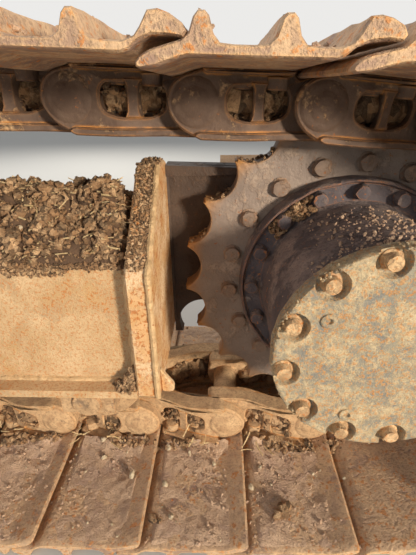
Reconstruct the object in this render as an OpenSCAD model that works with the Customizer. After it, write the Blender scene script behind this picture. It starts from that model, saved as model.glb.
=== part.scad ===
// Crawler track unit: one side of an excavator's undercarriage, with its drive end.
// Millimetres. X runs along the track towards the drive sprocket, Z is up, and the outboard side faces -Y.
// The origin is on the ground, midway along the track, on the track's centre plane.

/* [Track chain] */
// Distance between two link pins
pitch = 190; // [171:1:203]
// Number of links, and of shoes, in the loop
link_count = 45; // [41:1:49]
// Diameter of a chain bushing
bushing_d = 59; // [50:1:64]
// Height of the roller rail above the pin centres
rail_h = 52; // [48:1:56]
// Height of the shoe seat below the pin centres
seat_h = 46; // [42:1:50]
// Clear width between the two rows of links
link_gap = 88; // [80:1:100]
// Width of one row of links
link_w = 74; // [60:1:78]
// Clearance where one piece seats on or turns in another
seat_gap = 0.3; // [0.1:0.1:1]

/* [Shoes] */
// Length of a shoe across the track
shoe_w = 700; // [600:10:800]
// Thickness of a shoe's plate
shoe_t = 10; // [8:0.5:14]
// Height of a grouser bar above the plate
grouser_h = 26; // [18:1:34]
// Width of a grouser bar at its tip
grouser_tip_w = 10; // [6:1:14]
// Width of a grouser bar at its foot
grouser_foot_w = 26; // [22:1:32]
// How far a shoe's lipped edge reaches past the link's leading pin
lip_reach = 35; // [26:1:38]
// How far the lip curls towards the chain
lip_curl = 10; // [6:1:14]

/* [Sprocket] */
// Number of teeth; a bushing sits in every second gap
teeth = 21; // [19:2:25]
// Radius of a worn tooth gap
tooth_gap_r = 50; // [46:1:52]
// How far a tooth's tip stands beyond the pin circle
tooth_tip_h = 1; // [0:1:6]
// Width of the toothed rim
sprocket_w = 44; // [38:1:60]
// Thickness of the web behind the rim
web_t = 20; // [16:1:26]
// How far the circle of sprocket bolts lies outside the case's flange
sprocket_bolt_out = 22; // [20:1:26]
// Number of sprocket bolts
sprocket_bolts_n = 18; // [12:1:24]

/* [Final drive] */
// Radius of the planetary case's flange
case_flange_r = 209; // [206:1:214]
// How far the case flange stands out of the sprocket's face
case_flange_out = 38; // [30:1:44]
// How far the circle of case bolts lies inside the flange
case_bolt_in = 22; // [20:1:24]
// Number of case bolts
case_bolts_n = 16; // [12:1:20]
// How far the drum's side lies inside the flange
drum_in = 44; // [42:1:50]
// How far the cover's outer face stands out of the sprocket's face
cover_out = 265; // [240:1:275]
// How far the cover stands beyond the drum's side
cover_proud = 7; // [4:1:12]
// Thickness of the cover
cover_t = 26; // [22:1:34]
// How far the circle of cover bolts lies inside the cover's edge
cover_bolt_in = 17; // [15:1:20]
// Number of cover bolts
cover_bolts_n = 12; // [8:1:16]
// Radius of the pocket round each cover bolt
pocket_r = 22; // [18:1:24]
// Depth of those pockets
pocket_d = 12; // [6:1:16]

/* [Idler and rollers] */
// Radius of the pin circle round the idler
idler_pin_r = 330; // [320:1:340]
// Width of the idler's centre flange
idler_flange_w = 78; // [70:1:80]
// How far the centre flange stands out of the tread
idler_flange_h = 20; // [14:1:24]
// Radius of a track roller's tread
roller_tread_r = 79; // [72:1:84]
// How far a roller's outer flange overlaps the rail
roller_flange_h = 16; // [12:1:18]
// Number of track rollers
roller_count = 7; // [6:1:8]
// Distance from the sprocket axis to the last track roller
last_roller_x = 504; // [500:1:540]
// Distance from the idler axis to the first track roller
first_roller_x = 560; // [540:1:600]
// Radius of the recoil unit
recoil_r = 75; // [65:1:78]
// Length of the recoil unit
recoil_l = 780; // [600:10:900]
// Radius of a roller shaft
shaft_r = 27; // [24:1:29]
// Radius of a carrier roller's tread
carrier_r = 70; // [64:1:76]
// Distances of the two carrier rollers from the sprocket axis
carrier_x = [1000, 2180]; // [800:1:2400]
// How far the upper run climbs from the sprocket to the carriers
carrier_rise = 52; // [20:1:56]
// Sag of each upper stretch
chain_sag = 5; // [0:1:14]

/* [Frame] */
// Half width over the roller seats
seat_y = 205; // [200:1:210]
// Thickness of the roller seats
seat_t = 16; // [12:1:22]
// Wall thickness of the box frame
frame_t = 12; // [10:1:16]
// Half width of the box over its webs
box_y = 171; // [166:1:176]
// Half width of the box at its ridge
box_ridge_y = 40; // [30:1:50]
// Height of the box's shoulder above the sprocket axis
shoulder_h = 90; // [80:1:96]
// Height of the ridge above the sprocket axis
ridge_h = 160; // [150:1:166]
// Height of the end plate above the sprocket axis
end_h = 229; // [220:1:236]
// Length of the soil heap beside the end plate
heap_l = 480; // [300:10:500]
// Depth of that heap
heap_h = 46; // [30:1:50]
// Thickness of the end plate at the drive end
end_t = 43; // [36:1:50]
// Distance from the sprocket axis to the end plate
end_x = 357; // [350:1:370]
// Thickness of the drive bracket
bracket_t = 30; // [24:1:36]
// Radius of the bracket round the final drive
bracket_r = 228; // [220:1:236]
// Radius of the travel motor
motor_r = 112; // [100:1:120]
// Distance of the motor guard's back from the track's centre plane
guard_y = 300; // [280:2:320]
// Thickness of the motor guard
guard_t = 10; // [6:1:12]

/* [Access cover] */
// Length of the tension valve's cover, less its overlap
access_l = 170; // [140:1:200]
// Height of that cover, less its overlap
access_h = 90; // [70:1:110]
// Thickness of its cover
access_t = 8; // [6:1:10]
// Gap between the closed cover and the frame
access_gap = 8; // [8:1:10]
// Radius of the cover's hinge pin
hinge_pin_r = 5; // [4:1:6]

/* [Mounting pads] */
// Distances of the two mounting pads from the sprocket axis
pad_x = [960, 2200]; // [800:1:2400]
// Length of a pad's face along the track
pad_l = 400; // [380:1:440]
// Height of a pad's face
pad_h = 230; // [220:1:250]
// Thickness of a pad
pad_t = 30; // [24:1:36]
// Distance of a pad's face from the track's centre plane
pad_y = 240; // [230:1:260]
// Spacing of a pad's holes along the track
pad_hole_x = 330; // [320:1:350]
// Spacing of a pad's holes upwards
pad_hole_z = 170; // [160:1:180]
// Radius of a pad's hole
pad_hole_r = 13; // [11:0.5:15]

/* [Hidden] */
bushing_r = bushing_d / 2;
sprocket_bolt_pcr = case_flange_r + sprocket_bolt_out;
sprocket_bore_r = case_flange_r - 8;
case_bolt_pcr = case_flange_r - case_bolt_in;
drum_r = case_flange_r - drum_in;
cover_r = drum_r + cover_proud;
cover_bolt_pcr = cover_r - cover_bolt_in;
tip_h = seat_h + shoe_t + grouser_h;             // pin line to the ground
sprocket_pin_r = pitch / (2 * sin(360 / teeth)); // two teeth to each pitch
step_angle = 720 / teeth;
axis_z = tip_h + sprocket_pin_r;                 // sprocket axis above the ground
idler_z = tip_h + idler_pin_r;
carrier_pin_r = carrier_r + rail_h + seat_gap;
carrier_z = axis_z + sprocket_pin_r + carrier_rise - carrier_pin_r;
first_pin_x = -46;                               // pin of the lower run nearest to the sprocket
link_in = link_gap / 2;
link_out = link_in + link_w;

// The belt of pin centres runs round four circles [x, z, radius], each seen from the sprocket axis
function belt(length) = [
    [-length, idler_z, idler_pin_r], [0, axis_z, sprocket_pin_r],
    [-carrier_x[0], carrier_z, carrier_pin_r], [-carrier_x[1], carrier_z, carrier_pin_r]
];
function direction(a, b) = atan2(b[1] - a[1], b[0] - a[0]);
function apart(a, b) = norm([b[0] - a[0], b[1] - a[1]]);
// Angle of the tangent points on circles a and b, for a belt that runs anticlockwise outside them
function tangent_angle(a, b) = direction(a, b) - acos((a[2] - b[2]) / apart(a, b));
function span(a, b) = sqrt(pow(apart(a, b), 2) - pow(a[2] - b[2], 2)) / pitch;
function turn(from, to) = ((to - from) % 360 + 360) % 360;
// Angle that one pitch takes on a circle
function pitch_angle(r) = r > pitch ? 2 * asin(pitch / (2 * r)) : pitch / r * 180 / PI;
function arc_in(c, i) = tangent_angle(c[(i + 3) % 4], c[i]);
function arc_out(c, i) = tangent_angle(c[i], c[(i + 1) % 4]);
function arc_pitches(c, i) = turn(arc_in(c, i), arc_out(c, i)) / pitch_angle(c[i][2]);
function loop_pitches(c) = sum([for (i = [0:3]) arc_pitches(c, i) + span(c[i], c[(i + 1) % 4])]);
function sum(v, i = 0) = i == len(v) ? 0 : v[i] + sum(v, i + 1);
// Axle distance at which the loop holds the stated number of links
function axle_distance(length, tries) =
    tries == 0 ? length
    : axle_distance(length + (link_count - loop_pitches(belt(length))) * pitch / 2, tries - 1);
axle_l = axle_distance(link_count * pitch / 2 - PI * sprocket_pin_r, 8);
circles = belt(axle_l);

// Point of the belt at s pitches after the idler's lowest tangent point
function along(s, i) =
    let (a = circles[i], b = circles[(i + 1) % 4], l = span(a, b), ang = arc_out(circles, i))
    s < l ? on_line(a, b, ang, s / l, i)
    : let (w = arc_pitches(circles, (i + 1) % 4))
      s - l < w ? on_arc(b, arc_in(circles, (i + 1) % 4) + (s - l) * pitch_angle(b[2]))
      : along(s - l - w, (i + 1) % 4);
function on_arc(c, ang) = [c[0] + c[2] * cos(ang), c[1] + c[2] * sin(ang)];
function on_line(a, b, ang, t, i) =
    (1 - t) * on_arc(a, ang) + t * on_arc(b, ang) - [0, i > 0 ? chain_sag * sin(180 * t) : 0];
phase = let (p = span(circles[0], circles[1]) + first_pin_x / pitch) p - floor(p);
pins = [for (k = [0:link_count - 1]) along(k + phase, 0)];
sprocket_gap_angle = -90 + (1 + first_pin_x / pitch) * step_angle;

// A point fixed to link k, a along the link from its pin and b outwards from the pin line
function on_link(k, a, b) =
    let (p = pins[k % link_count], q = pins[(k + 1) % link_count], u = (q - p) / norm(q - p))
    p + a * u + b * [u[1], -u[0]];
// A point on the line that halves the angle between links k-1 and k
function on_joint(k, b) =
    let (o = pins[(k + link_count - 1) % link_count], p = pins[k % link_count],
         q = pins[(k + 1) % link_count], u = (p - o) / norm(p - o), v = (q - p) / norm(q - p),
         m = [u[1] + v[1], -u[0] - v[0]] / norm(u + v))
    p + m * b / (m * [u[1], -u[0]]);

// The outer side of a shoe, from its hooked trailing edge to where the next shoe begins: [along, outwards]
grouser_pos = [27, 95, 171];
plate_out = seat_h + shoe_t;
hook_x = lip_reach - 39;
function grouser(a) = [
    [a - grouser_foot_w / 2, plate_out], [a - grouser_tip_w / 2, tip_h],
    [a + grouser_tip_w / 2, tip_h], [a + grouser_foot_w / 2, plate_out]
];
shoe_outer = concat(
    [[hook_x, plate_out + 12], [grouser_pos[0] - grouser_tip_w, tip_h], [grouser_pos[0], tip_h]],
    [[grouser_pos[0] + grouser_foot_w / 2, plate_out]],
    grouser(grouser_pos[1]), grouser(grouser_pos[2])
);
// The chain side of a shoe, with the lip that curls into the chain
shoe_inner = [
    [lip_reach + 4, seat_h], [pitch - 6, seat_h], [pitch + lip_reach, seat_h - lip_curl]
];
loop_outer = [for (k = [0:link_count - 1]) for (p = shoe_outer) on_link(k, p[0], p[1])];
loop_inner = [for (k = [0:link_count - 1]) for (p = shoe_inner) on_link(k, p[0], p[1])];
mid_x = (min([for (p = loop_outer) p[0]]) + max([for (p = loop_outer) p[0]])) / 2;

// Heights that follow from the roller and the rail
rail_z = tip_h + rail_h;
roller_z = rail_z + roller_tread_r + seat_gap;
seat_z = roller_z + 30;
box_z = seat_z + 66;
roller_pos = [for (i = [0:roller_count - 1])
    -last_roller_x - i * (axle_l - last_roller_x - first_roller_x) / (roller_count - 1)];
roller_in = link_in + 4;
roller_edge = link_out + 1;
roller_out = link_out + 17;
frame_end_x = -(end_x + end_t);
frame_front_x = -axle_l + 470;

// Places along Y of the final drive's faces, seen from the sprocket's outer face
sprocket_face = -sprocket_w / 2;
web_back = sprocket_face + web_t;
case_face = sprocket_face - case_flange_out;
cover_face = sprocket_face - cover_out;
cover_back = cover_face + cover_t;
bracket_y = 46;
bolt_head_h = 13;
valve_y = guard_y - guard_t - 86;

access_x = -2080;
access_mid = 115; // from the web's foot up to the tension valve

// Turns a solid drawn along Z into one along Y, with its top facing outboard
module outboard(x, y, z) { translate([x, y, z]) rotate([90, 0, 0]) children(); }
module disc(r, y0, y1, x = 0, z = axis_z, fn = 96) { outboard(x, y1, z) cylinder(r = r, h = y1 - y0, $fn = fn); }
// Extrudes a [y, z] outline along X from x0 to x1
module beam(x0, x1, outline) {
    translate([x0, 0, 0]) rotate([90, 0, 90]) linear_extrude(height = x1 - x0) polygon(outline);
}
module block(x0, x1, y0, y1, z0, z1) { translate([x0, y0, z0]) cube([x1 - x0, y1 - y0, z1 - z0]); }
module bolt_ring(n, pcr, face, head_r, head_h, turn_by = 0) {
    for (i = [0:n - 1])
        disc(head_r, face - head_h, face, pcr * cos(turn_by + i * 360 / n),
             axis_z + pcr * sin(turn_by + i * 360 / n), 6);
}
function mirrored(half) = concat(half, [for (i = [len(half) - 1:-1:0]) [-half[i][0], half[i][1]]]);

// The box with its sloping top, the skirts that carry the roller seats, and the tension valve's flange
module track_frame() {
    top = axis_z + ridge_h;
    shoulder = axis_z + shoulder_h;
    foot = seat_z + seat_t;
    inner = box_y - frame_t;
    color("tan") access_place() disc(28, -3, 0, 0, 0, 48);
    color("tan") difference() {
        beam(frame_front_x, frame_end_x, mirrored([
            [-roller_out - 7, seat_z], [-seat_y, seat_z], [-seat_y, foot], [-box_y, foot],
            [-box_y, shoulder], [-box_ridge_y, top]]));
        beam(frame_front_x - 1, frame_end_x + 1, mirrored([
            [-roller_out - 7, seat_z - 1], [-roller_out - 7, foot], [-inner, foot], [-inner, box_z]]));
        beam(frame_front_x - 1, frame_end_x + 1, mirrored([
            [-inner, box_z + frame_t], [-inner, shoulder - frame_t / 2],
            [-box_ridge_y + frame_t / 4, top - frame_t]]));
    }
}

// Puts a piece drawn round the origin onto the outboard web, at the tension valve
module access_place() {
    translate([access_x, -box_y, seat_z + seat_t + access_mid]) children();
}

// Dried soil that lies on the slope beside the end plate
module soil_heap() {
    slope = (ridge_h - shoulder_h) / (box_y - box_ridge_y);
    foot = axis_z + shoulder_h + seat_gap;
    color("sienna") beam(frame_end_x - heap_l, frame_end_x, [
        [-box_y + 3, foot + 3 * slope], [-box_ridge_y, axis_z + ridge_h + seat_gap],
        [box_ridge_y - 12, axis_z + ridge_h + seat_gap], [-20, axis_z + ridge_h + heap_h * 0.45],
        [-85, axis_z + ridge_h + heap_h * 0.8], [-135, axis_z + shoulder_h + heap_h * 1.15],
        [-box_y + 8, foot + heap_h * 0.5]]);
}

// Thick plate across the drive end of the box, standing proud of it
module drive_end_plate() {
    color("tan") beam(frame_end_x, frame_end_x + end_t, [
        [-seat_y, seat_z + 3], [-seat_y, axis_z + shoulder_h], [-box_ridge_y, axis_z + end_h],
        [box_ridge_y, axis_z + end_h], [seat_y, axis_z + shoulder_h], [seat_y, seat_z + 3]]);
}

// Plate behind the sprocket that carries the final drive
module drive_bracket() {
    x0 = -end_x;
    color("tan") difference() {
        union() {
            outboard(0, bracket_y + bracket_t, axis_z) linear_extrude(height = bracket_t) polygon([
                [x0, 48 - bracket_r], [-150, 56 - bracket_r], [0, 20 - bracket_r], [0, bracket_r - 20],
                [-150, bracket_r - 16], [x0, bracket_r - 10]]);
            disc(bracket_r, bracket_y, bracket_y + bracket_t);
        }
        disc(150, bracket_y - 1, bracket_y + bracket_t + 1);
        disc(58, bracket_y - 1, bracket_y + bracket_t + 1, -288, axis_z - 150);
    }
}

// Lip along the bracket's upper edge
module bracket_rim() {
    color("tan") outboard(0, bracket_y - seat_gap, axis_z) linear_extrude(height = 18)
        polygon([[-end_x + seat_gap, bracket_r - 32], [40 - bracket_r, bracket_r - 28],
                 [40 - bracket_r, bracket_r - 16], [-end_x + seat_gap, bracket_r - 10]]);
}

module frame_front_plate() {
    color("tan") difference() {
        beam(frame_front_x - 22, frame_front_x, [
            [-box_y, seat_z + seat_t], [-box_y, axis_z + shoulder_h],
            [-box_ridge_y, axis_z + ridge_h], [box_ridge_y, axis_z + ridge_h],
            [box_y, axis_z + shoulder_h], [box_y, seat_z + seat_t]]);
        translate([frame_front_x - 23, 0, idler_z]) rotate([0, 90, 0])
            cylinder(r = recoil_r - 29, h = 24, $fn = 48);
    }
}

// Worn sprocket: wide round gaps between thin teeth, and a web dished behind the rim
module sprocket() {
    rim_inner_r = sprocket_bolt_pcr + 31;
    gap_pos = sprocket_pin_r - bushing_r - seat_gap + tooth_gap_r;
    color("saddlebrown") difference() {
        disc(sprocket_pin_r + tooth_tip_h, sprocket_face, -sprocket_face, fn = 120);
        for (i = [0:teeth - 1])
            disc(tooth_gap_r, sprocket_face - 1, 1 - sprocket_face,
                 gap_pos * cos(sprocket_gap_angle + i * 360 / teeth),
                 axis_z + gap_pos * sin(sprocket_gap_angle + i * 360 / teeth), 48);
        disc(sprocket_bore_r, sprocket_face - 1, 1 - sprocket_face);
        disc(rim_inner_r, web_back, 1 - sprocket_face);
    }
}
module sprocket_bolts() {
    color("dimgray") bolt_ring(sprocket_bolts_n, sprocket_bolt_pcr, sprocket_face, 18, bolt_head_h, 66.5);
}
module hub_flange() {
    color("saddlebrown") {
        disc(sprocket_bolt_pcr + 30, web_back, sprocket_w / 2);
        disc(sprocket_bore_r - seat_gap, sprocket_face, web_back);
    }
}
module planetary_case() {
    color("saddlebrown") {
        difference() {
            disc(case_flange_r, case_face, sprocket_face);
            difference() {
                disc(case_flange_r - 7, case_face - 1, case_face + 9);
                disc(drum_r, case_face - 2, case_face + 10);
            }
        }
        disc(drum_r, cover_back, case_face);
    }
}
module case_bolts() {
    color("dimgray") bolt_ring(case_bolts_n, case_bolt_pcr, case_face + 9, 13, bolt_head_h + 8, 0);
}
module drive_cover() {
    color("darkkhaki") difference() {
        union() {
            disc(cover_r, cover_face + 5, cover_back);
            outboard(0, cover_face + 5, axis_z) cylinder(r1 = cover_r, r2 = cover_r - 4, h = 5, $fn = 96);
        }
        for (i = [0:cover_bolts_n - 1])
            disc(pocket_r, cover_face - 1, cover_face + pocket_d,
                 cover_bolt_pcr * cos(10 + i * 360 / cover_bolts_n),
                 axis_z + cover_bolt_pcr * sin(10 + i * 360 / cover_bolts_n), 48);
    }
}
module cover_bolts() {
    color("dimgray") bolt_ring(cover_bolts_n, cover_bolt_pcr, cover_face + pocket_d, 12.5, 24, 10);
}
module drive_spindle() { color("saddlebrown") disc(case_bolt_pcr, sprocket_w / 2, bracket_y - seat_gap); }

// Travel motor, its valve block and the guard round them, on the inboard side
module travel_motor() {
    color("dimgray") {
        disc(motor_r + 60, bracket_y + bracket_t, bracket_y + bracket_t + 18);
        disc(motor_r, bracket_y + bracket_t + 18, valve_y);
        disc(motor_r - 30, valve_y, valve_y + 12);
    }
}
module motor_valve() {
    color("gray") block(-motor_r + 37, motor_r - 37, valve_y + 12, guard_y - guard_t - 19, axis_z - 70, axis_z + 80);
}
module motor_guard() {
    color("tan") difference() {
        block(-bracket_r - 22, bracket_r - 68, bracket_y + bracket_t, guard_y,
              axis_z - bracket_r + 68, axis_z + bracket_r - 33);
        block(guard_t - bracket_r - 22, bracket_r, bracket_y, guard_y - guard_t, 0,
              axis_z + bracket_r - 33 - guard_t);
    }
}

// Idler wheel: two treads and a centre flange, cast with a hollow rim
idler_tread_r = sqrt(pow(idler_pin_r, 2) - pow(pitch / 2, 2)) - rail_h - seat_gap;
module idler_wheel() {
    half = [
        [45, 62], [96, 62], [96, 34], [idler_tread_r - 34, 26], [idler_tread_r - 30, 104], [idler_tread_r, 104],
        [idler_tread_r, idler_flange_w / 2], [idler_tread_r + idler_flange_h, idler_flange_w / 2 - 8]];
    color("saddlebrown") outboard(-axle_l, 0, idler_z) rotate_extrude($fn = 72)
        polygon(concat(half, [for (i = [len(half) - 1:-1:0]) [half[i][0], -half[i][1]]]));
}
module idler_shaft() { color("dimgray") disc(45 - seat_gap, -168, 168, -axle_l, idler_z, 48); }
module idler_blocks() {
    color("gray") for (s = [-1, 1]) mirror([0, s < 0 ? 1 : 0, 0]) difference() {
        block(-axle_l - 75, -axle_l + 75, 110, 160, idler_z - 60, idler_z + 60);
        disc(45, 100, 170, -axle_l, idler_z, 48);
    }
}
module idler_guides() {
    color("tan") for (s = [-1, 1]) mirror([0, s < 0 ? 1 : 0, 0]) {
        for (z = [idler_z - 60 - seat_gap - 34, idler_z + 60 + seat_gap])
            block(-axle_l - 110, frame_front_x - 22, 118, 166, z, z + 34);
        block(frame_front_x - 62, frame_front_x - 22, 118, 166, idler_z - 60 - seat_gap, idler_z + 60 + seat_gap);
    }
}
module idler_yoke() {
    front = frame_front_x - 100;
    color("gray") difference() {
        block(-axle_l + 75 + seat_gap, front, -117, 117, idler_z - 52, idler_z + 52);
        block(-axle_l + 70, -axle_l + idler_tread_r + idler_flange_h + 28, -106, 106, idler_z - 53, idler_z + 53);
    }
    color("gray") translate([front, 0, idler_z]) rotate([0, 90, 0]) cylinder(r = recoil_r - 35, h = 178, $fn = 48);
}
module recoil_unit() {
    color("dimgray") translate([frame_front_x + 78 + seat_gap, 0, idler_z]) rotate([0, 90, 0])
        cylinder(r = recoil_r, h = recoil_l, $fn = 48);
}

// Double-flanged track roller between its collars
module track_roller(i) {
    color("saddlebrown") outboard(roller_pos[i], 0, roller_z) rotate_extrude($fn = 60) polygon([
        [shaft_r + seat_gap, -roller_out], [roller_tread_r + roller_flange_h - 5, -roller_out],
        [roller_tread_r + roller_flange_h, -roller_edge - 6], [roller_tread_r, -roller_edge],
        [roller_tread_r, -roller_in], [roller_tread_r - 9, -roller_in + 6], [roller_tread_r - 9, roller_in - 6],
        [roller_tread_r, roller_in], [roller_tread_r, roller_edge],
        [roller_tread_r + roller_flange_h, roller_edge + 6], [roller_tread_r + roller_flange_h - 5, roller_out],
        [shaft_r + seat_gap, roller_out]]);
}
// Roller shafts with the flat-topped collars that bolt under the seats
module roller_collars() {
    color("dimgray") for (x = roller_pos) {
        disc(shaft_r, -seat_y + 12, seat_y - 12, x, roller_z, 48);
        for (s = [-1, 1]) mirror([0, s < 0 ? 1 : 0, 0])
            block(x - 52, x + 52, roller_out + 3, seat_y - 18, roller_z - 26, seat_z);
    }
}
module carrier_roller(i) {
    color("saddlebrown") outboard(-carrier_x[i], 0, carrier_z) rotate_extrude($fn = 48) polygon([
        [27 + seat_gap, -link_out], [carrier_r, -link_out], [carrier_r, -link_in - 4], [carrier_r - 10, -link_in + 2],
        [carrier_r - 10, link_in - 2], [carrier_r, link_in + 4], [carrier_r, link_out - 30],
        [carrier_r, link_out], [27 + seat_gap, link_out]]);
}
module carrier_shafts() { color("dimgray") for (x = carrier_x) disc(27, -link_out - 4, box_y, -x, carrier_z, 48); }
// Stand beside the roller, on the inboard slope of the frame
module carrier_stands() {
    slope = (ridge_h - shoulder_h) / (box_y - box_ridge_y);
    color("tan") for (x = carrier_x) difference() {
        union() {
            beam(-x - 60, -x + 60, [
                [130, axis_z + shoulder_h + (box_y - 130) * slope], [box_y, axis_z + shoulder_h],
                [box_y, carrier_z - 60], [box_y - 6, carrier_z], [130, carrier_z]]);
            disc(46, 130, box_y - 6, -x, carrier_z, 48);
        }
        disc(27 + seat_gap, 100, 180, -x, carrier_z, 48);
    }
}
module chain_guides() {
    color("tan") for (i = [1, 4]) let (x = (roller_pos[i] + roller_pos[i + 1]) / 2,
             reach = (roller_pos[i] - roller_pos[i + 1]) / 2 - roller_tread_r - roller_flange_h - 12)
        for (s = [-1, 1]) mirror([0, s < 0 ? 1 : 0, 0])
            beam(x - reach, x + reach, [
                [link_out + 8, seat_z - seat_gap], [link_out + 8, tip_h + 14], [link_out + 24, tip_h + 30],
                [link_out + 26, seat_z - 20], [seat_y - 8, seat_z - 20], [seat_y - 8, seat_z - seat_gap]]);
}

// One row of links: a rail towards the rollers and a seat under each shoe
module links(y0) {
    rim = concat(
        [for (k = [0:link_count - 1]) each [
            on_joint(k, seat_h - lip_curl - 6), on_link(k, lip_reach + 8, seat_h - lip_curl - 6),
            on_link(k, lip_reach + 8, seat_h - 0.1), on_link(k, pitch - 26, seat_h - 0.1)]]);
    rail = [for (k = [0:link_count - 1]) each [on_joint(k, -rail_h + 9), on_link(k, pitch / 2, -rail_h)]];
    outboard(0, y0 + link_w, 0) linear_extrude(height = link_w) difference() {
        polygon(rim);
        polygon(rail);
    }
}
module outer_links() { color("rosybrown") links(-link_out); }
module inner_links() { color("rosybrown") links(link_in); }
module bushings() {
    color("saddlebrown") for (p = pins) disc(bushing_r, -link_in, link_in, p[0], p[1], 6);
}
module track_shoes() {
    color("peru") outboard(0, shoe_w / 2, 0) linear_extrude(height = shoe_w) difference() {
        polygon(loop_outer);
        polygon(loop_inner);
    }
}

// Box brackets and drilled pads that bolt to the car body
module mount_pad(i) {
    z0 = axis_z - 42 - pad_h / 2;
    x = -pad_x[i];
    wall = 14;
    color("tan") difference() {
        union() {
            block(x - pad_l / 2, x + pad_l / 2, pad_y - pad_t, pad_y, z0, z0 + pad_h);
            beam(x - 130, x + 130, [
                [box_y, z0 + 20], [box_y, z0 + pad_h - 20],
                [pad_y - pad_t, z0 + pad_h - 20], [pad_y - pad_t, z0 + 20]]);
        }
        block(x - 130 + wall, x + 130 - wall, 0, pad_y + 1, z0 + 20 + wall, z0 + pad_h - 20 - wall);
        for (sx = [-1, 1]) for (sz = [-1, 1])
            disc(pad_hole_r, pad_y - pad_t - 1, pad_y + 1, x + sx * pad_hole_x / 2,
                 z0 + pad_h / 2 + sz * pad_hole_z / 2, 32);
    }
}

// Hinged cover over the tension valve, and the knuckles that carry it
hinge_up = access_h / 2 + 24;
hinge_y = access_gap + access_t / 2;
barrel_r = hinge_pin_r + 3;
module along_x(x0, x1, r) { translate([x0, -hinge_y, hinge_up]) rotate([0, 90, 0]) cylinder(r = r, h = x1 - x0, $fn = 32); }
module access_cover() {
    color("tan") access_place() difference() {
        union() {
            block(-access_l / 2 - 20, access_l / 2 + 20, -access_gap - access_t, -access_gap,
                  -access_h / 2 - 20, hinge_up - barrel_r - 4);
            for (x = [-60, 60]) {
                block(x - 18, x + 18, -access_gap - access_t, -access_gap, hinge_up - barrel_r - 5, hinge_up);
                along_x(x - 18, x + 18, barrel_r);
                block(x - 5, x + 5, -access_gap - 28, -access_gap - access_t, -48, -36);
            }
            block(-65, 65, -access_gap - 38, -access_gap - 28, -48, -36);
        }
        along_x(-100, 100, hinge_pin_r + 0.1);
    }
}
module cover_hinge() {
    color("gray") access_place() for (x = [-60, 60]) {
        along_x(x - 32, x + 32, hinge_pin_r);
        for (dx = [-32, 20]) block(x + dx, x + dx + 12, -hinge_y - barrel_r, 0, hinge_up - 8, hinge_up + 8);
    }
}

module placed() { translate([-mid_x, 0, 0]) children(); }
placed() track_frame();
placed() drive_end_plate();
placed() drive_bracket();
placed() bracket_rim();
placed() frame_front_plate();
placed() sprocket();
placed() sprocket_bolts();
placed() hub_flange();
placed() planetary_case();
placed() case_bolts();
placed() drive_cover();
placed() cover_bolts();
placed() drive_spindle();
placed() travel_motor();
placed() motor_valve();
placed() motor_guard();
placed() idler_wheel();
placed() idler_shaft();
placed() idler_blocks();
placed() idler_guides();
placed() idler_yoke();
placed() recoil_unit();
for (i = [0:roller_count - 1])
    placed() track_roller(i);
placed() roller_collars();
placed() carrier_roller(1);  // carrier_roller_front
placed() carrier_roller(0);  // carrier_roller_rear
placed() carrier_shafts();
placed() carrier_stands();
placed() chain_guides();
placed() outer_links();
placed() inner_links();
placed() bushings();
placed() track_shoes();
placed() mount_pad(1);  // mount_pad_front
placed() mount_pad(0);  // mount_pad_rear
placed() access_cover();
placed() cover_hinge();
placed() soil_heap();
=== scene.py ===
# Crawler track unit of an excavator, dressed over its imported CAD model.
# Lengths are in metres. +X runs towards the drive sprocket, -Y is outboard and +Z is up.
import bpy, math
import numpy as np
from mathutils import Matrix, Vector


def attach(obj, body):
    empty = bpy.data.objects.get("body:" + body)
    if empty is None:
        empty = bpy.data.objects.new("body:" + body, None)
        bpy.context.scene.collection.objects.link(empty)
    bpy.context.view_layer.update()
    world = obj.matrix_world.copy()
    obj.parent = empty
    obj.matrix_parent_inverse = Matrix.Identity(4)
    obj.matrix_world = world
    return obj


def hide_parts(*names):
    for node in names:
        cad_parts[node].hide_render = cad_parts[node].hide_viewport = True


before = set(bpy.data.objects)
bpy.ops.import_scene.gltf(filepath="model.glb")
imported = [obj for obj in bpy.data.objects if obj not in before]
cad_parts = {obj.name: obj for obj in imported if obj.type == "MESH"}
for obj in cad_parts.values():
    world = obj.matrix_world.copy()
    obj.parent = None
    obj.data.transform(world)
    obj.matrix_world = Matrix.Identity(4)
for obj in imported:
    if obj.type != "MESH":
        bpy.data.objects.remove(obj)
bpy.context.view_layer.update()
print("stage: frame loaded")

# ---- camera and lamps ----
cameraView = {"place": (1.3884, -0.7364, 0.7586), "down": 26.42, "yaw": -2.23, "roll": -0.76, "pixels": 383.9,
              "tall": 555}


def makeCamera(v):
    # The camera looks along (sin yaw cos down, cos yaw cos down, -sin down), then rolls about that line.
    p, y, r = (math.radians(v[k]) for k in ("down", "yaw", "roll"))
    ahead = Vector((math.sin(y) * math.cos(p), math.cos(y) * math.cos(p), -math.sin(p)))
    side = Vector((math.cos(y), -math.sin(y), 0))
    top = side.cross(ahead)
    side, top = math.cos(r) * side + math.sin(r) * top, math.cos(r) * top - math.sin(r) * side
    data = bpy.data.cameras.new("photoCamera")
    data.sensor_width = 36
    data.lens = v["pixels"] * data.sensor_width / v["tall"]  # pixels and tall are those of the photo
    data.clip_start, data.clip_end = 0.02, 60
    cam = bpy.data.objects.new("photoCamera", data)
    bpy.context.collection.objects.link(cam)
    cam.matrix_world = Matrix.Translation(v["place"]) @ Matrix(
        [[side[i], top[i], -ahead[i]] for i in range(3)]).to_4x4()
    bpy.context.scene.camera = cam


def areaLight(name, place, target, size, power, colour, spread=180):
    data = bpy.data.lights.new(name, "AREA")
    data.shape, data.size, data.energy, data.color, data.spread = "DISK", size, power, colour, math.radians(spread)
    o = bpy.data.objects.new(name, data)
    bpy.context.collection.objects.link(o)
    o.location = place
    o.rotation_euler = (Vector(target) - Vector(place)).to_track_quat("-Z", "Y").to_euler()


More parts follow.
